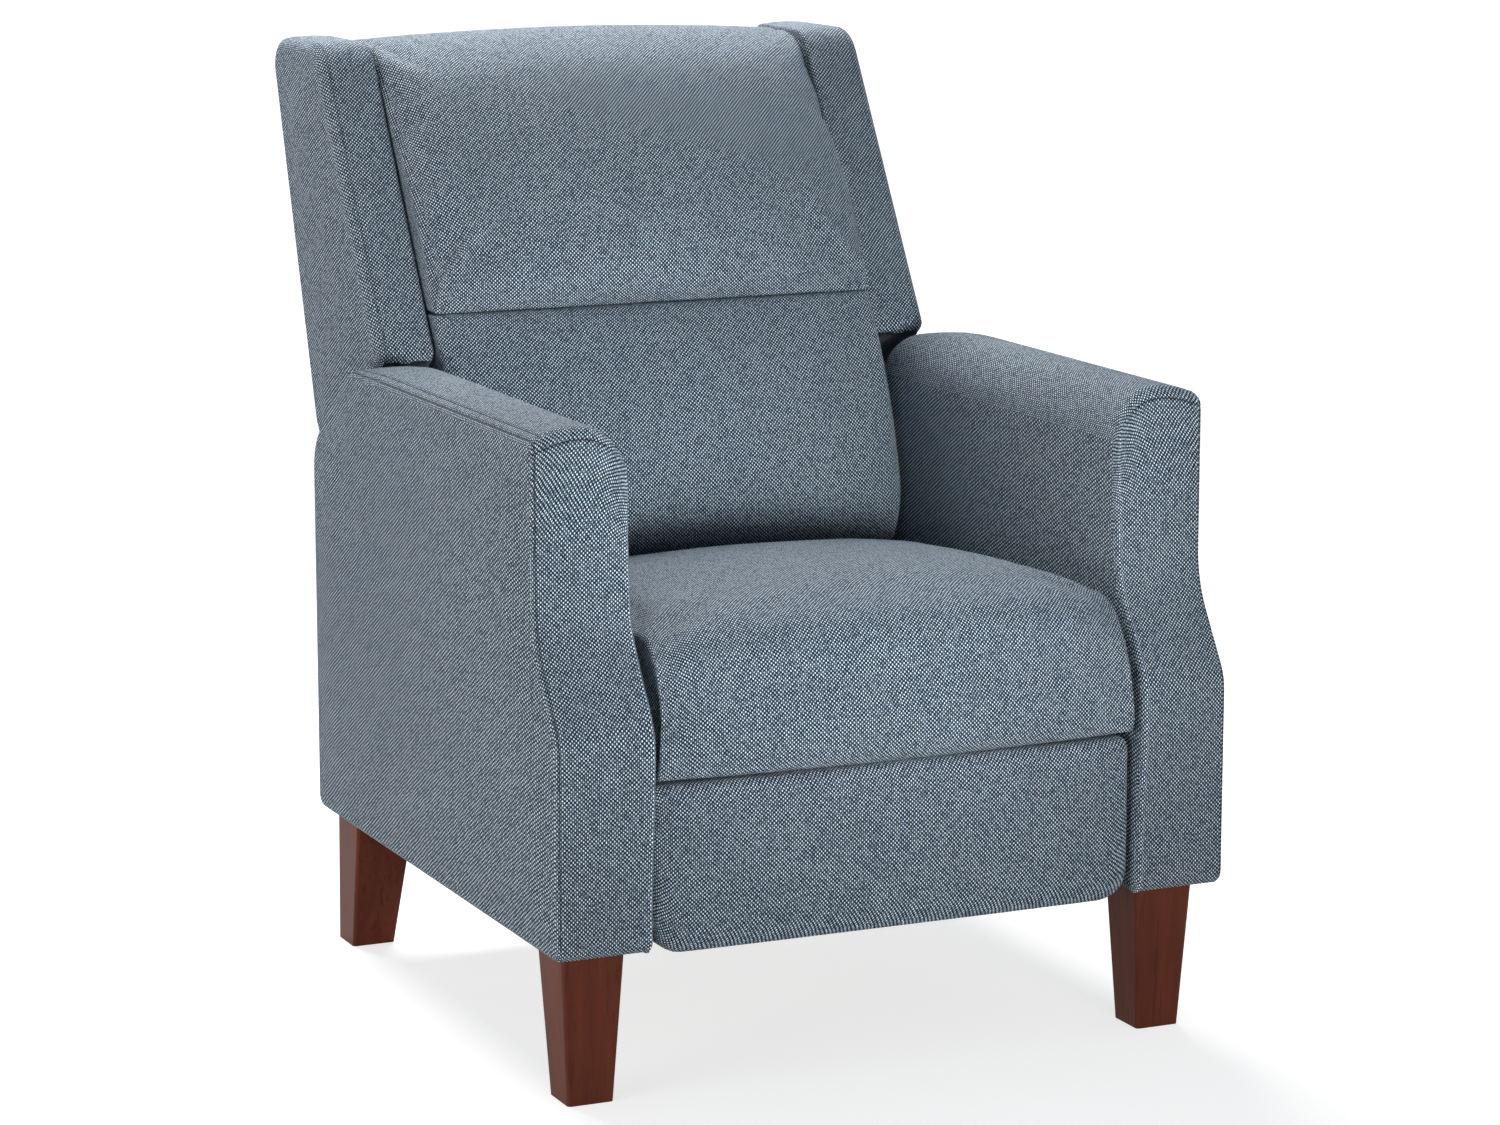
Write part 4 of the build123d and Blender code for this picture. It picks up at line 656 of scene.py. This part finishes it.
def shape_arm(ring, normal, marks, level):
    """The arm's domed top with its rounded inner edge, its fuller front and its seams."""
    y, z = ring[:, 0], ring[:, 1]
    front = 1 - behind_depth(60, 95, y)
    share = 1 - level / ARM_WIDTH
    dome = ARM_DOME * math.sin(math.pi * min(share / 0.95, 1.0)) * (1 - behind_depth(470, 610, y))
    fall = inset(ARM_DROP, level) * smooth(0.52, 0.640, z + 0.75 * np.clip(y - at(560, 0)[0], 0, 0.14))
    slope = behind_depth(575, 610, y)[:, None]
    way = (1 - slope) * np.array([0.0, 1.0]) + slope * normal
    belly = smooth(0.20, 0.34, z) * (1 - smooth(0.40, 0.60, z)) * front
    moved = ring + way * (dome * smooth(0.54, 0.640, z) - fall)[:, None]
    moved = moved + normal * (belly * ARM_BELLY * share)[:, None]
    upper = smooth(TOP_START - 0.006, TOP_START, marks) * (1 - smooth(SLOPE_END - 0.03, SLOPE_END, marks))
    lower = marks < FRONT_SEAM
    seam = dip(marks - FRONT_SEAM, 0.0022) * smooth(0.012, 0.030, level)
    seam = np.maximum(seam, dip(level - (ARM_WIDTH - UPPER_SEAM), SEAM_WIDTH) * upper)
    seam = np.maximum(seam, dip(level - (ARM_WIDTH - EDGE_SEAM), SEAM_WIDTH) * smooth(0.156, 0.17, z))
    fold = dip(level - 0.0045, 0.004) * front * lower
    # the second value is painted shade in the seams, negative on the front fold as a painted highlight
    return moved + normal * (0.0020 * fold - SEAM_DEPTH * seam)[:, None], seam - 0.5 * fold


# places where the mesh is finer, round the front seam, the outer seams and the inner edge
ARM_MARKS = [FRONT_SEAM + k for k in (-0.005, -0.003, -0.0015, 0.0, 0.0015, 0.003, 0.005)]
ARM_LEVELS = [ARM_WIDTH - k for k in (0.0012, 0.0020, 0.0030, 0.0040, 0.0050, 0.0060, 0.0080, 0.0103, 0.0115,
                                      0.0125, 0.0135, 0.0148)]
ARM_LEVELS += [0.0015, 0.0035, 0.0050, 0.0062, 0.0075, 0.0088, 0.0105, 0.0130, 0.0160, 0.020, 0.025, 0.030]

for name, side in SIDES:
    place_arm = beside(side, ARM_INNER)
    arm = padded_panel(f"{name}_arm_upholstery", ARM_LINE, place_arm, ARM_CLEARANCE, ARM_WIDTH,
                       ARM_EDGE_IN, ARM_EDGE_OUT, spacing=0.007, marks_extra=ARM_MARKS,
                       cross_extra=ARM_LEVELS, cap_puff=SIDE_PUFF, shape=shape_arm)
    dress(arm, "base", [f"{name}_arm_cover"])

    points, normal, marks, _ = walk(ARM_LINE, 0.004)
    run = (marks > TOP_START) & (marks < SLOPE_END - 0.02)
    # the upper row points up, the row on the rounded edge leans out
    for row, back, lean in (("upper", UPPER_SEAM, 0.0), ("edge", EDGE_SEAM, 0.6)):
        sunk = float(inset(np.array(ARM_EDGE_OUT), np.array(back))) + 0.0003
        path = [place_arm(p - n * sunk, ARM_WIDTH - back) for p, n in zip(points[run], normal[run])]
        up = [(side * lean, n[0] * (1 - lean / 2), n[1] * (1 - lean / 2)) for n in normal[run]]
        stitches(f"{name}_arm_topstitch_{row}", path, up, "base")

# Wings

BACK_LEAN = math.radians(17.8)
BACK_SLOPE = math.tan(BACK_LEAN)


def back_plane(height, inward):
    """Depth of the back's rear face at a height, moved in square to it, all in millimetres."""
    return 946 - (976 - height) * BACK_SLOPE - inward / math.cos(BACK_LEAN)


WING_CORNERS = [at(600, 657), at(789.5, 976), at(946, 976), at(back_plane(535, 0), 535), at(733, 535),
                at(723, 561)]
WING_LINE = rounded(WING_CORNERS, [0.010, 0.045, 0.030, 0.045, 0.014, 0.014])
WING_WIDTH = WING_OUTER - WING_INNER
WING_EDGE_IN, WING_EDGE_OUT = 0.006, 0.011
WING_LEVELS = [WING_WIDTH - k for k in (0.0070, 0.0085, 0.0097, 0.0110, 0.0123, 0.0135, 0.0150)]
CREVICE_SHADE = 0.75           # painted shade along the crevice between wing and cushion
# a thin strip just under the wing's sloping bottom, painted shade filling the gap between wing and arm
WING_GAP_SHADE = rounded([at(605, 652.5), at(721, 562), at(719.5, 560), at(603.5, 650.5)], [0.0005] * 4)
GAP_SHADE_IN, GAP_SHADE_OUT = 0.005, 0.008      # its distances from the wing's inner and outer faces


def shape_wing(ring, normal, marks, level):
    """The wing's front seam with its painted shade, and painted shade along its inner edge where the cushions
    meet it.
    """
    seam = dip(level - (WING_WIDTH - WING_EDGE_OUT), 0.003) * np.ones(len(ring))
    # painted shade in the front seam and along the inner edge next to the cushions
    crevice_shade = CREVICE_SHADE * (1 - smooth(0.0, 0.005, level))
    return ring - normal * (0.0010 * seam)[:, None], 0.4 * seam + crevice_shade


for name, side in SIDES:
    wing = padded_panel(f"{name}_wing_upholstery", WING_LINE, beside(side, WING_INNER), 0.0, WING_WIDTH,
                        WING_EDGE_IN, WING_EDGE_OUT, cross_extra=WING_LEVELS, cap_puff=SIDE_PUFF,
                        band_puff=0.002, shape=shape_wing)
    dress(wing, "back", [f"{name}_wing"])
    # near-black cloth put in the gap under the wing as painted shade
    gap_shade = padded_panel(f"{name}_wing_gap_shade", WING_GAP_SHADE, beside(side, WING_INNER), GAP_SHADE_IN,
                         WING_WIDTH - GAP_SHADE_OUT, 0.0005, 0.0005, spacing=0.006)
    dress(gap_shade, "back", material=LOOKS["dust_cover"])

# Crowned cushions

STATION_COUNT = 64
END_STEPS = 7
END_SHARES = [0.0, 0.2, 0.4, 0.6, 0.75, 0.86, 0.94, 0.98]


def crowned(name, half_width, profile, edge_round, lift=1.0, spacing=0.008):
    """A cushion lofted across the chair. profile(share) gives its outline at a share of the half width.
    lift is how much its rounded ends also draw in from above and below."""
    _, _, marks, total = walk(profile(0.0), spacing)
    shares = marks / total
    turn = edge_round * (1 - np.cos(np.linspace(0, math.pi / 2, END_STEPS)[:-1]))
    levels = np.concatenate([
        -half_width + turn,
        np.linspace(-half_width + edge_round, half_width - edge_round, STATION_COUNT),
        half_width - turn[::-1],
    ])
    rings, caps, ends = [], [], []

    def ring_at(x):
        line = profile(abs(x) / half_width)
        closed = np.vstack([line, line[:1]])
        along = lengths_along(closed)
        place = shares * along[-1]
        points = np.stack([np.interp(place, along, closed[:, k]) for k in (0, 1)], axis=1)
        ahead = np.roll(points, -1, axis=0) - np.roll(points, 1, axis=0)
        ahead /= np.linalg.norm(ahead, axis=1)[:, None]
        normal = turned_out(np.stack([ahead[:, 1], -ahead[:, 0]], axis=1), points)
        gap = max(0.0, edge_round - (half_width - abs(x)))
        pull = edge_round - math.sqrt(max(0.0, edge_round**2 - gap**2))
        return points - normal * np.array([1.0, lift]) * pull

    def add_ring(x, ring, flat):
        rings.append(np.column_stack([np.full(len(ring), x), ring]))
        caps.append(ring)
        ends.append(flat)

    def add_cap(x, order):
        ring = ring_at(x)
        centre = ring.mean(axis=0)
        for f in order:
            add_ring(x, centre + (ring - centre) * f, True)

    add_cap(-half_width, END_SHARES)
    for x in levels:
        add_ring(x, ring_at(x), False)
    add_cap(half_width, END_SHARES[::-1])
    seam_shades = np.zeros((len(rings), len(marks)))
    obj = skin(name, np.array(rings), marks, total, np.array(caps), ends, seam_shades)
    fix_normals(obj)
    return obj


def arc(first, second, bow, count):
    """Points on a shallow arc from first to second, bowed to the left of the way it runs."""
    a, b = np.array(first, float), np.array(second, float)
    way = b - a
    left = np.array([-way[1], way[0]]) / np.linalg.norm(way)
    t = np.linspace(0, 1, count)[:, None]
    return a + way * t + left * bow * 4 * t * (1 - t)


def keep_between_wings(co):
    co[:, 0] = np.clip(co[:, 0], -WING_INNER + 0.001, WING_INNER - 0.001)


# Seat

SEAT_GAP = 0.003
SEAT_EDGE = 0.006
SEAT_SWELL = 0.010
SEAT_HELD = 0.327        # points below this height stay on the frame
SEAT_LOWEST = 0.3205
SEAT_FRONT_ROOM = 0.006
SEAT_SIDE_ROOM = 0.0012


def seat_profile(side):
    """The seat's section: a flat underside, a rounded nose and a crowned top that falls to the rear."""
    share = 1 - side**2
    front = 8 * (1 - share) - 12
    front_top = 460 + 18 * share
    rear_top = 424 + 8 * share
    lip = 323 - 2 * share
    line = [at(580, 326), at(60, 326), at(front + 14, lip), at(front + 5, lip + 2.5), at(front + 1, lip + 10)]
    end = float(smooth(0.80, 1.0, side))
    deep, tall = 48 + 16 * end, 56 + 28 * end
    turn = np.linspace(0, math.pi / 2, 18)
    line += [at(front + deep - deep * math.cos(a), front_top - tall + tall * math.sin(a)) for a in turn]
    for t in np.linspace(0, 1, 40)[1:]:
        rise = (4 + 15 * share) * math.sin(math.pi * min(t / 0.84, 1.0))
        depth = front + deep + t * (574 - front - deep)
        line.append(at(depth, front_top + t * (rear_top - front_top) + rise))
    return np.array(line + [at(580, rear_top - 6)])


seat = crowned("seat_upholstery", ARM_INNER - SEAT_GAP, seat_profile, SEAT_EDGE)
co = coordinates(seat)
inflate(seat, (co[:, 2] < SEAT_HELD) | (co[:, 1] > at(490, 0)[0]), SEAT_SWELL)
co = coordinates(seat)
co[:, 0] = np.clip(co[:, 0], -ARM_INNER + SEAT_SIDE_ROOM, ARM_INNER - SEAT_SIDE_ROOM)
co[:, 2] += 0.0012 * ripple(co, 0.16, 5) * smooth(0.40, 0.46, co[:, 2])
co[:, 1] = np.maximum(co[:, 1], CAD_LOW.y - SEAT_FRONT_ROOM)
co[:, 2] = np.maximum(co[:, 2], SEAT_LOWEST)
set_coordinates(seat, co)
dress(seat, "seat", ["seat_cushion"])

# Lumbar and head cushions

BACK_HALF = WING_INNER - 0.0015
BACK_EDGE = 0.010
BACK_LIFT = 0.25
BACK_SWELL = 0.012
LUMBAR_LOWEST = 0.4305
LUMBAR_TOP, HEAD_LOWEST = 699.4, 700.6
SEAM_HELD = 0.003        # points this near the seam between the two stay in place


def cushion_back(height):
    """Depth of the cushions' rear face at a height, in millimetres."""
    return 609 + (height - 462) * math.tan(math.radians(26.9))


def lumbar_profile(side):
    share = 1 - side**2
    front = 518 - 20 * share
    bottom = 430 + 9 * share
    shoulder = 600 - 10 * share
    low = arc(at(front + 20, bottom + 1), at(front, 490), 0.005, 8)
    face = arc(at(front, 490), at(shoulder, 690), 0.012, 24)
    tuck = arc(at(shoulder, 690), at(607, LUMBAR_TOP), 0.002, 6)
    line = [at(cushion_back(bottom) - 1, bottom + 1)] + list(low) + list(face[1:]) + list(tuck[1:])
    return np.array([tuple(p) for p in line] + [at(cushion_back(LUMBAR_TOP) - 1, LUMBAR_TOP)])


def head_profile(side):
    share = 1 - side**2
    belly = 601 - 16 * share
    shoulder = 765 - 26 * share
    top = 974 + 12 * share
    tuck = arc(at(608, HEAD_LOWEST), at(belly, 738), 0.008, 12)
    face = arc(at(belly, 738), at(shoulder, 945), 0.013, 26)
    over = arc(at(shoulder, 945), at(850, top), 0.012, 14)
    rear = arc(at(850, top), at(920.5, 957.8), 0.006, 10)
    line = list(tuck) + list(face[1:]) + list(over[1:]) + list(rear[1:])
    line += [at(cushion_back(950) - 1, 950), at(cushion_back(HEAD_LOWEST) - 1, HEAD_LOWEST)]
    return np.array([tuple(p) for p in line])


lumbar = crowned("lumbar_upholstery", BACK_HALF, lumbar_profile, BACK_EDGE, BACK_LIFT)
co = coordinates(lumbar)
rear = co[:, 1] > ARM_FRONT + 0.620 + (co[:, 2] - 0.70) * 0.45
inflate(lumbar, rear | (np.abs(co[:, 2] - LUMBAR_TOP * MM) < SEAM_HELD), BACK_SWELL)
co = coordinates(lumbar)
keep_between_wings(co)
co[:, 2] = np.clip(co[:, 2], LUMBAR_LOWEST, LUMBAR_TOP * MM)
set_coordinates(lumbar, co)
dress(lumbar, "back", ["lumbar_cushion"])

head = crowned("head_upholstery", BACK_HALF, head_profile, BACK_EDGE, BACK_LIFT)
co = coordinates(head)
rear = co[:, 1] > ARM_FRONT + 0.660 + (co[:, 2] - 0.70) * 0.75
inflate(head, rear | (np.abs(co[:, 2] - HEAD_LOWEST * MM) < SEAM_HELD), BACK_SWELL)
co = coordinates(head)
keep_between_wings(co)
co[:, 2] = np.maximum(co[:, 2], HEAD_LOWEST * MM)
# small gathers along the seam
gather = np.exp(-(((co[:, 2] - 0.706) / 0.014) ** 2)) * (co[:, 1] < at(612, 0)[0])
co[:, 1] += 0.0016 * gather * ripple(co * [1.0, 0.2, 0.2], 0.055, 9)
set_coordinates(head, co)
dress(head, "back", ["head_cushion"])

# Footrest pad

PAD_LOW, PAD_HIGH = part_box("footrest_pad")
PAD_HALF = PAD_HIGH.x


def pad_profile(side):
    """The pad's section, with large rounded corners below, small ones above and a bulged face."""
    reach = PAD_HALF * (1 - side)
    low = PAD_LOW.z - 0.007 + float(inset(np.array(0.030), np.array(reach)))
    high = PAD_HIGH.z + 0.003 - float(inset(np.array(0.010), np.array(reach)))
    front = PAD_LOW.y + 0.006 - 0.006 * (1 - side**6)
    corners = [(PAD_HIGH.y, low), (front, low), (front, high), (PAD_HIGH.y, high)]
    line = rounded(corners, [0.003, 0.010, 0.008, 0.003])
    bulge = 0.003 * np.sin(math.pi * np.clip((line[:, 1] - low) / (high - low), 0, 1)) * (1 - side**4)
    return np.column_stack([line[:, 0] - bulge * (line[:, 0] < front + 0.012), line[:, 1]])


pad = crowned("footrest_upholstery", PAD_HALF, pad_profile, 0.006)
dress(pad, "footrest", ["footrest_pad"])

# Outside back

PANEL_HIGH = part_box("outside_back")[1].z * 1000 + 4
PANEL_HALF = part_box("outside_back")[1].x
PANEL_THICK = 14
PANEL_LOW, FLAP_LOW, FLAP_TOP = 360, 302, 359.6
FLAP_HALF = 0.200
RETURN_THICK = 0.006
RAIL_END = 0.232
COVER_GAP = 0.0002
POST_SIDE = [at(609, 467), at(676, 604), at(728, 565), at(738, 540), at(801, 540), at(779, 467)]


def panel_profile(low, high, puff):
    """The section of the outside back between two heights, with its padded rear face."""

    def profile(side):
        corners = ((low, 0), (low, PANEL_THICK), (high, PANEL_THICK), (high, 0))
        line = rounded([at(back_plane(z, inward), z) for z, inward in corners], [0.005, 0.002, 0.002, 0.005])
        share = np.clip((line[:, 1] / MM - low) / (high - low), 0, 1)
        rear = ARM_FRONT + (back_plane(line[:, 1] / MM, 0) - 6) * MM
        rise = puff * np.sin(math.pi * share) ** 0.6 * (1 - side**8) * (line[:, 0] > rear)
        return np.column_stack([line[:, 0] + rise, line[:, 1]])

    return profile


def back_strip(low, high, near, far, radius):
    """An outline along the back's rear face, from near to far inside it."""
    corners = ((low, near), (high, near), (high, far), (low, far))
    return rounded([at(back_plane(z, inward), z) for z, inward in corners], [radius] * 4)


def rail_rear(height):
    """Where the rear face of the back's lower rail lies at a height in metres."""
    return at(back_plane(height / MM, PANEL_THICK), 0)[0]


panel = crowned("outside_back_upholstery", PANEL_HALF, panel_profile(PANEL_LOW, PANEL_HIGH, 0.004), 0.005)
dress(panel, "back", ["outside_back"])
flap = crowned("outside_back_flap", FLAP_HALF, panel_profile(FLAP_LOW, FLAP_TOP, 0.0015), 0.004)
dress(flap, "back")

for name, side in SIDES:
    back_return = padded_panel(f"{name}_back_return", back_strip(361, 474.5, 14.5, 62, 0.004),
                               beside(side, PANEL_HALF - RETURN_THICK), 0.0, RETURN_THICK, 0.001, 0.003,
                               spacing=0.006)
    dress(back_return, "back")
    post_cover = padded_panel(f"{name}_back_side", rounded(POST_SIDE, [0.004] * len(POST_SIDE)),
                              beside(side, WING_INNER), COVER_GAP, 0.0024, 0.0005, 0.0015, spacing=0.006)
    dress(post_cover, "back")
    # fabric over the end and the rear corner of the lower rail
    rail_cover = padded_panel(f"{name}_back_corner", back_strip(333, 360.6, 14.8, 28.5, 0.002),
                              beside(side, RAIL_END), COVER_GAP, 0.0020, 0.0003, 0.0010, spacing=0.004)
    dress(rail_cover, "back")
    tab_in, tab_out = FLAP_HALF + 0.0008, RAIL_END - COVER_GAP
    tab = rounded([(tab_in, 0.333), (tab_out, 0.333), (tab_out, 0.3594), (tab_in, 0.3594)], [0.002] * 4)
    rail_tab = padded_panel(f"{name}_back_tab", tab,
                            lambda p, h, side=side: (side * p[0], rail_rear(p[1]) + h, p[1]),
                            COVER_GAP, 0.0018, 0.0003, 0.0008, spacing=0.004)
    dress(rail_tab, "back")


def welt_profile(side):
    """The fabric over the frame's top edge, with the piping that closes it against the outside back."""
    turn = np.linspace(-math.pi / 2, math.radians(200), 16)
    bead = [at(923.6 + 3 * math.cos(a), 958.2 + 3 * math.sin(a)) for a in turn]
    return np.array([at(880, 955.3)] + bead + [at(914, 956.6), at(880, 956.4)])


welt = crowned("outside_back_welt", WING_INNER - 0.001, welt_profile, 0.001, spacing=0.0015)
dress(welt, "back")

# Base panel

BASE_LOW, BASE_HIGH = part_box("rear_base_panel")


def base_profile(side):
    """The panel's section, with its padded rear face."""
    corners = [(BASE_LOW.y, BASE_LOW.z), (BASE_HIGH.y, BASE_LOW.z), (BASE_HIGH.y, BASE_HIGH.z),
               (BASE_LOW.y, BASE_HIGH.z)]
    line = rounded(corners, [0.001, 0.004, 0.004, 0.001])
    share = np.clip((line[:, 1] - BASE_LOW.z) / (BASE_HIGH.z - BASE_LOW.z), 0, 1)
    rise = 0.003 * np.sin(math.pi * share) ** 0.6 * (1 - side**8) * (line[:, 0] > BASE_HIGH.y - 0.004)
    return np.column_stack([line[:, 0] + rise, line[:, 1]])


base_panel = crowned("rear_base_upholstery", BASE_HIGH.x, base_profile, 0.003)
dress(base_panel, "base", ["rear_base_panel"])

# Dust cover under the seat

DUST_LOW, DUST_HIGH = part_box("seat_dust_cover")
DUST_HALF, DUST_LENGTH = DUST_HIGH.x, DUST_HIGH.y - DUST_LOW.y
DUST_THICK = 0.0008
DUST_SAG = 0.003


def dust_profile(side):
    """Thin cloth stapled round its edges that hangs a little in the middle."""
    t = np.linspace(0, 1, 60)
    sag = DUST_SAG * np.sin(math.pi * t) * (1 - side**2)
    upper = np.column_stack([DUST_LOW.y + t * DUST_LENGTH, DUST_HIGH.z - COVER_GAP - sag])
    return np.vstack([upper, (upper - [0.0, DUST_THICK])[::-1]])


dust_cover = crowned("seat_dust_cloth", DUST_HALF, dust_profile, 0.0003, spacing=0.010)
dress(dust_cover, "seat", ["seat_dust_cover"], material=LOOKS["dust_cover"])

# CAD pieces that stay in view

for part in frame["record"]["subparts"]:
    look = LOOKS.get(part["material_slot"])
    node = frame["nodes"][part["node"]]
    if look is not None:
        node.data.materials.clear()
        node.data.materials.append(look)

# Floor

FLOOR_HALF = 60
FLOOR_DARK, FLOOR_LIGHT = (0.50, 0.4875, 0.475), (0.54, 0.5275, 0.515)
NEAR_GLOW, FAR_GLOW = 0.70, 0.28      # glow seen near the chair, and how much more far off

floor_corners = [(x * FLOOR_HALF, y * FLOOR_HALF, 0) for x, y in ((-1, -1), (1, -1), (1, 1), (-1, 1))]
floor = make_object("floor", floor_corners, [[0, 1, 2, 3]])
ground = Tree("floor")
paper = ground.noise(ground.object_coordinates(), 3.0, 2.0)
ground.join(ground.ramp(paper, ((0.3, FLOOR_DARK), (0.7, FLOOR_LIGHT))), ground.shader, "Base Color")
ground.shader.inputs["Roughness"].default_value = 0.9
path = ground.node("ShaderNodeLightPath")
seen = ground.math("MAXIMUM", path.outputs["Is Camera Ray"], path.outputs["Is Glossy Ray"])
ground.shader.inputs["Emission Color"].default_value = (1, 1, 1, 1)
apart = ground.node("ShaderNodeVectorMath", operation="LENGTH")
ground.join(ground.object_coordinates(), apart, 0)
glow = ground.scaled(ground.smoothstep(apart.outputs["Value"], 0.8, 4.5), FAR_GLOW, NEAR_GLOW)
ground.join(ground.math("MULTIPLY", seen, glow), ground.shader, "Emission Strength")
floor.data.materials.append(ground.material)

# World: white where it is seen, a dim cool light on the chair

WORLD_LIGHT = 0.22
WORLD_TINT = (0.68, 0.87, 1.0, 1)

world = bpy.data.worlds.new("studio")
SCENE.world = world
world.use_nodes = True
sky = world.node_tree
background = sky.nodes["Background"]
path = sky.nodes.new("ShaderNodeLightPath")
seen = sky.nodes.new("ShaderNodeMath")
seen.operation = "MAXIMUM"
sky.links.new(path.outputs["Is Camera Ray"], seen.inputs[0])
sky.links.new(path.outputs["Is Glossy Ray"], seen.inputs[1])
level = sky.nodes.new("ShaderNodeMapRange")
level.inputs["To Min"].default_value = WORLD_LIGHT
level.inputs["To Max"].default_value = 1.0
sky.links.new(seen.outputs[0], level.inputs["Value"])
sky.links.new(level.outputs[0], background.inputs["Strength"])
tint = sky.nodes.new("ShaderNodeMix")
tint.data_type = "RGBA"
tint.inputs[6].default_value = WORLD_TINT
tint.inputs[7].default_value = (1, 1, 1, 1)
sky.links.new(seen.outputs[0], tint.inputs[0])
sky.links.new(tint.outputs[2], background.inputs["Color"])

# Lamps


def softbox(name, position, target, size, power, colour=(1.0, 1.0, 1.0), spread=180.0):
    """A rectangular lamp aimed at a target. spread is the angle of its beam in degrees."""
    light = bpy.data.lights.new(name, "AREA")
    light.shape = "RECTANGLE"
    light.size, light.size_y = size
    light.energy = power
    light.color = colour
    light.spread = math.radians(spread)
    lamp = bpy.data.objects.new(name, light)
    SCENE.collection.objects.link(lamp)
    lamp.location = position
    lamp.rotation_euler = (Vector(target) - Vector(position)).to_track_quat("-Z", "Y").to_euler()


# a broad warm and a narrow cool lamp in front, one on the left, and one above and behind
FRONT_LAMPS = (0.0, -3.4, 0.6)
softbox("key", FRONT_LAMPS, (0, -0.1, 0.5), (1.8, 1.0), 37, (1.0, 0.98, 0.95))
softbox("spot", FRONT_LAMPS, (0, 0.05, 0.65), (0.4, 0.4), 1.95, (0.88, 0.97, 1.0), spread=24.0)
softbox("left", (-2.6, -0.9, 0.36), (-0.3, 0, 0.36), (1.6, 0.6), 34, (1.0, 0.985, 0.96))
softbox("top", (0.0, 1.3, 2.2), (0, -0.30, 0.45), (2.2, 0.8), 96)

# Camera, fitted to the photo's perspective

lens = bpy.data.cameras.new("camera")
lens.lens = 105.67
lens.sensor_width = 36.0
lens.shift_x = -0.0033
lens.shift_y = -0.0271
camera = bpy.data.objects.new("camera", lens)
SCENE.collection.objects.link(camera)
camera.location = (-1.8671, ARM_FRONT - 3.7592, 1.3173)
aim = Vector((0.0, ARM_FRONT + 0.350, 0.500)) - camera.location
camera.rotation_mode = "QUATERNION"
camera.rotation_quaternion = aim.to_track_quat("-Z", "Y")
SCENE.camera = camera
SCENE.view_settings.view_transform = "Standard"
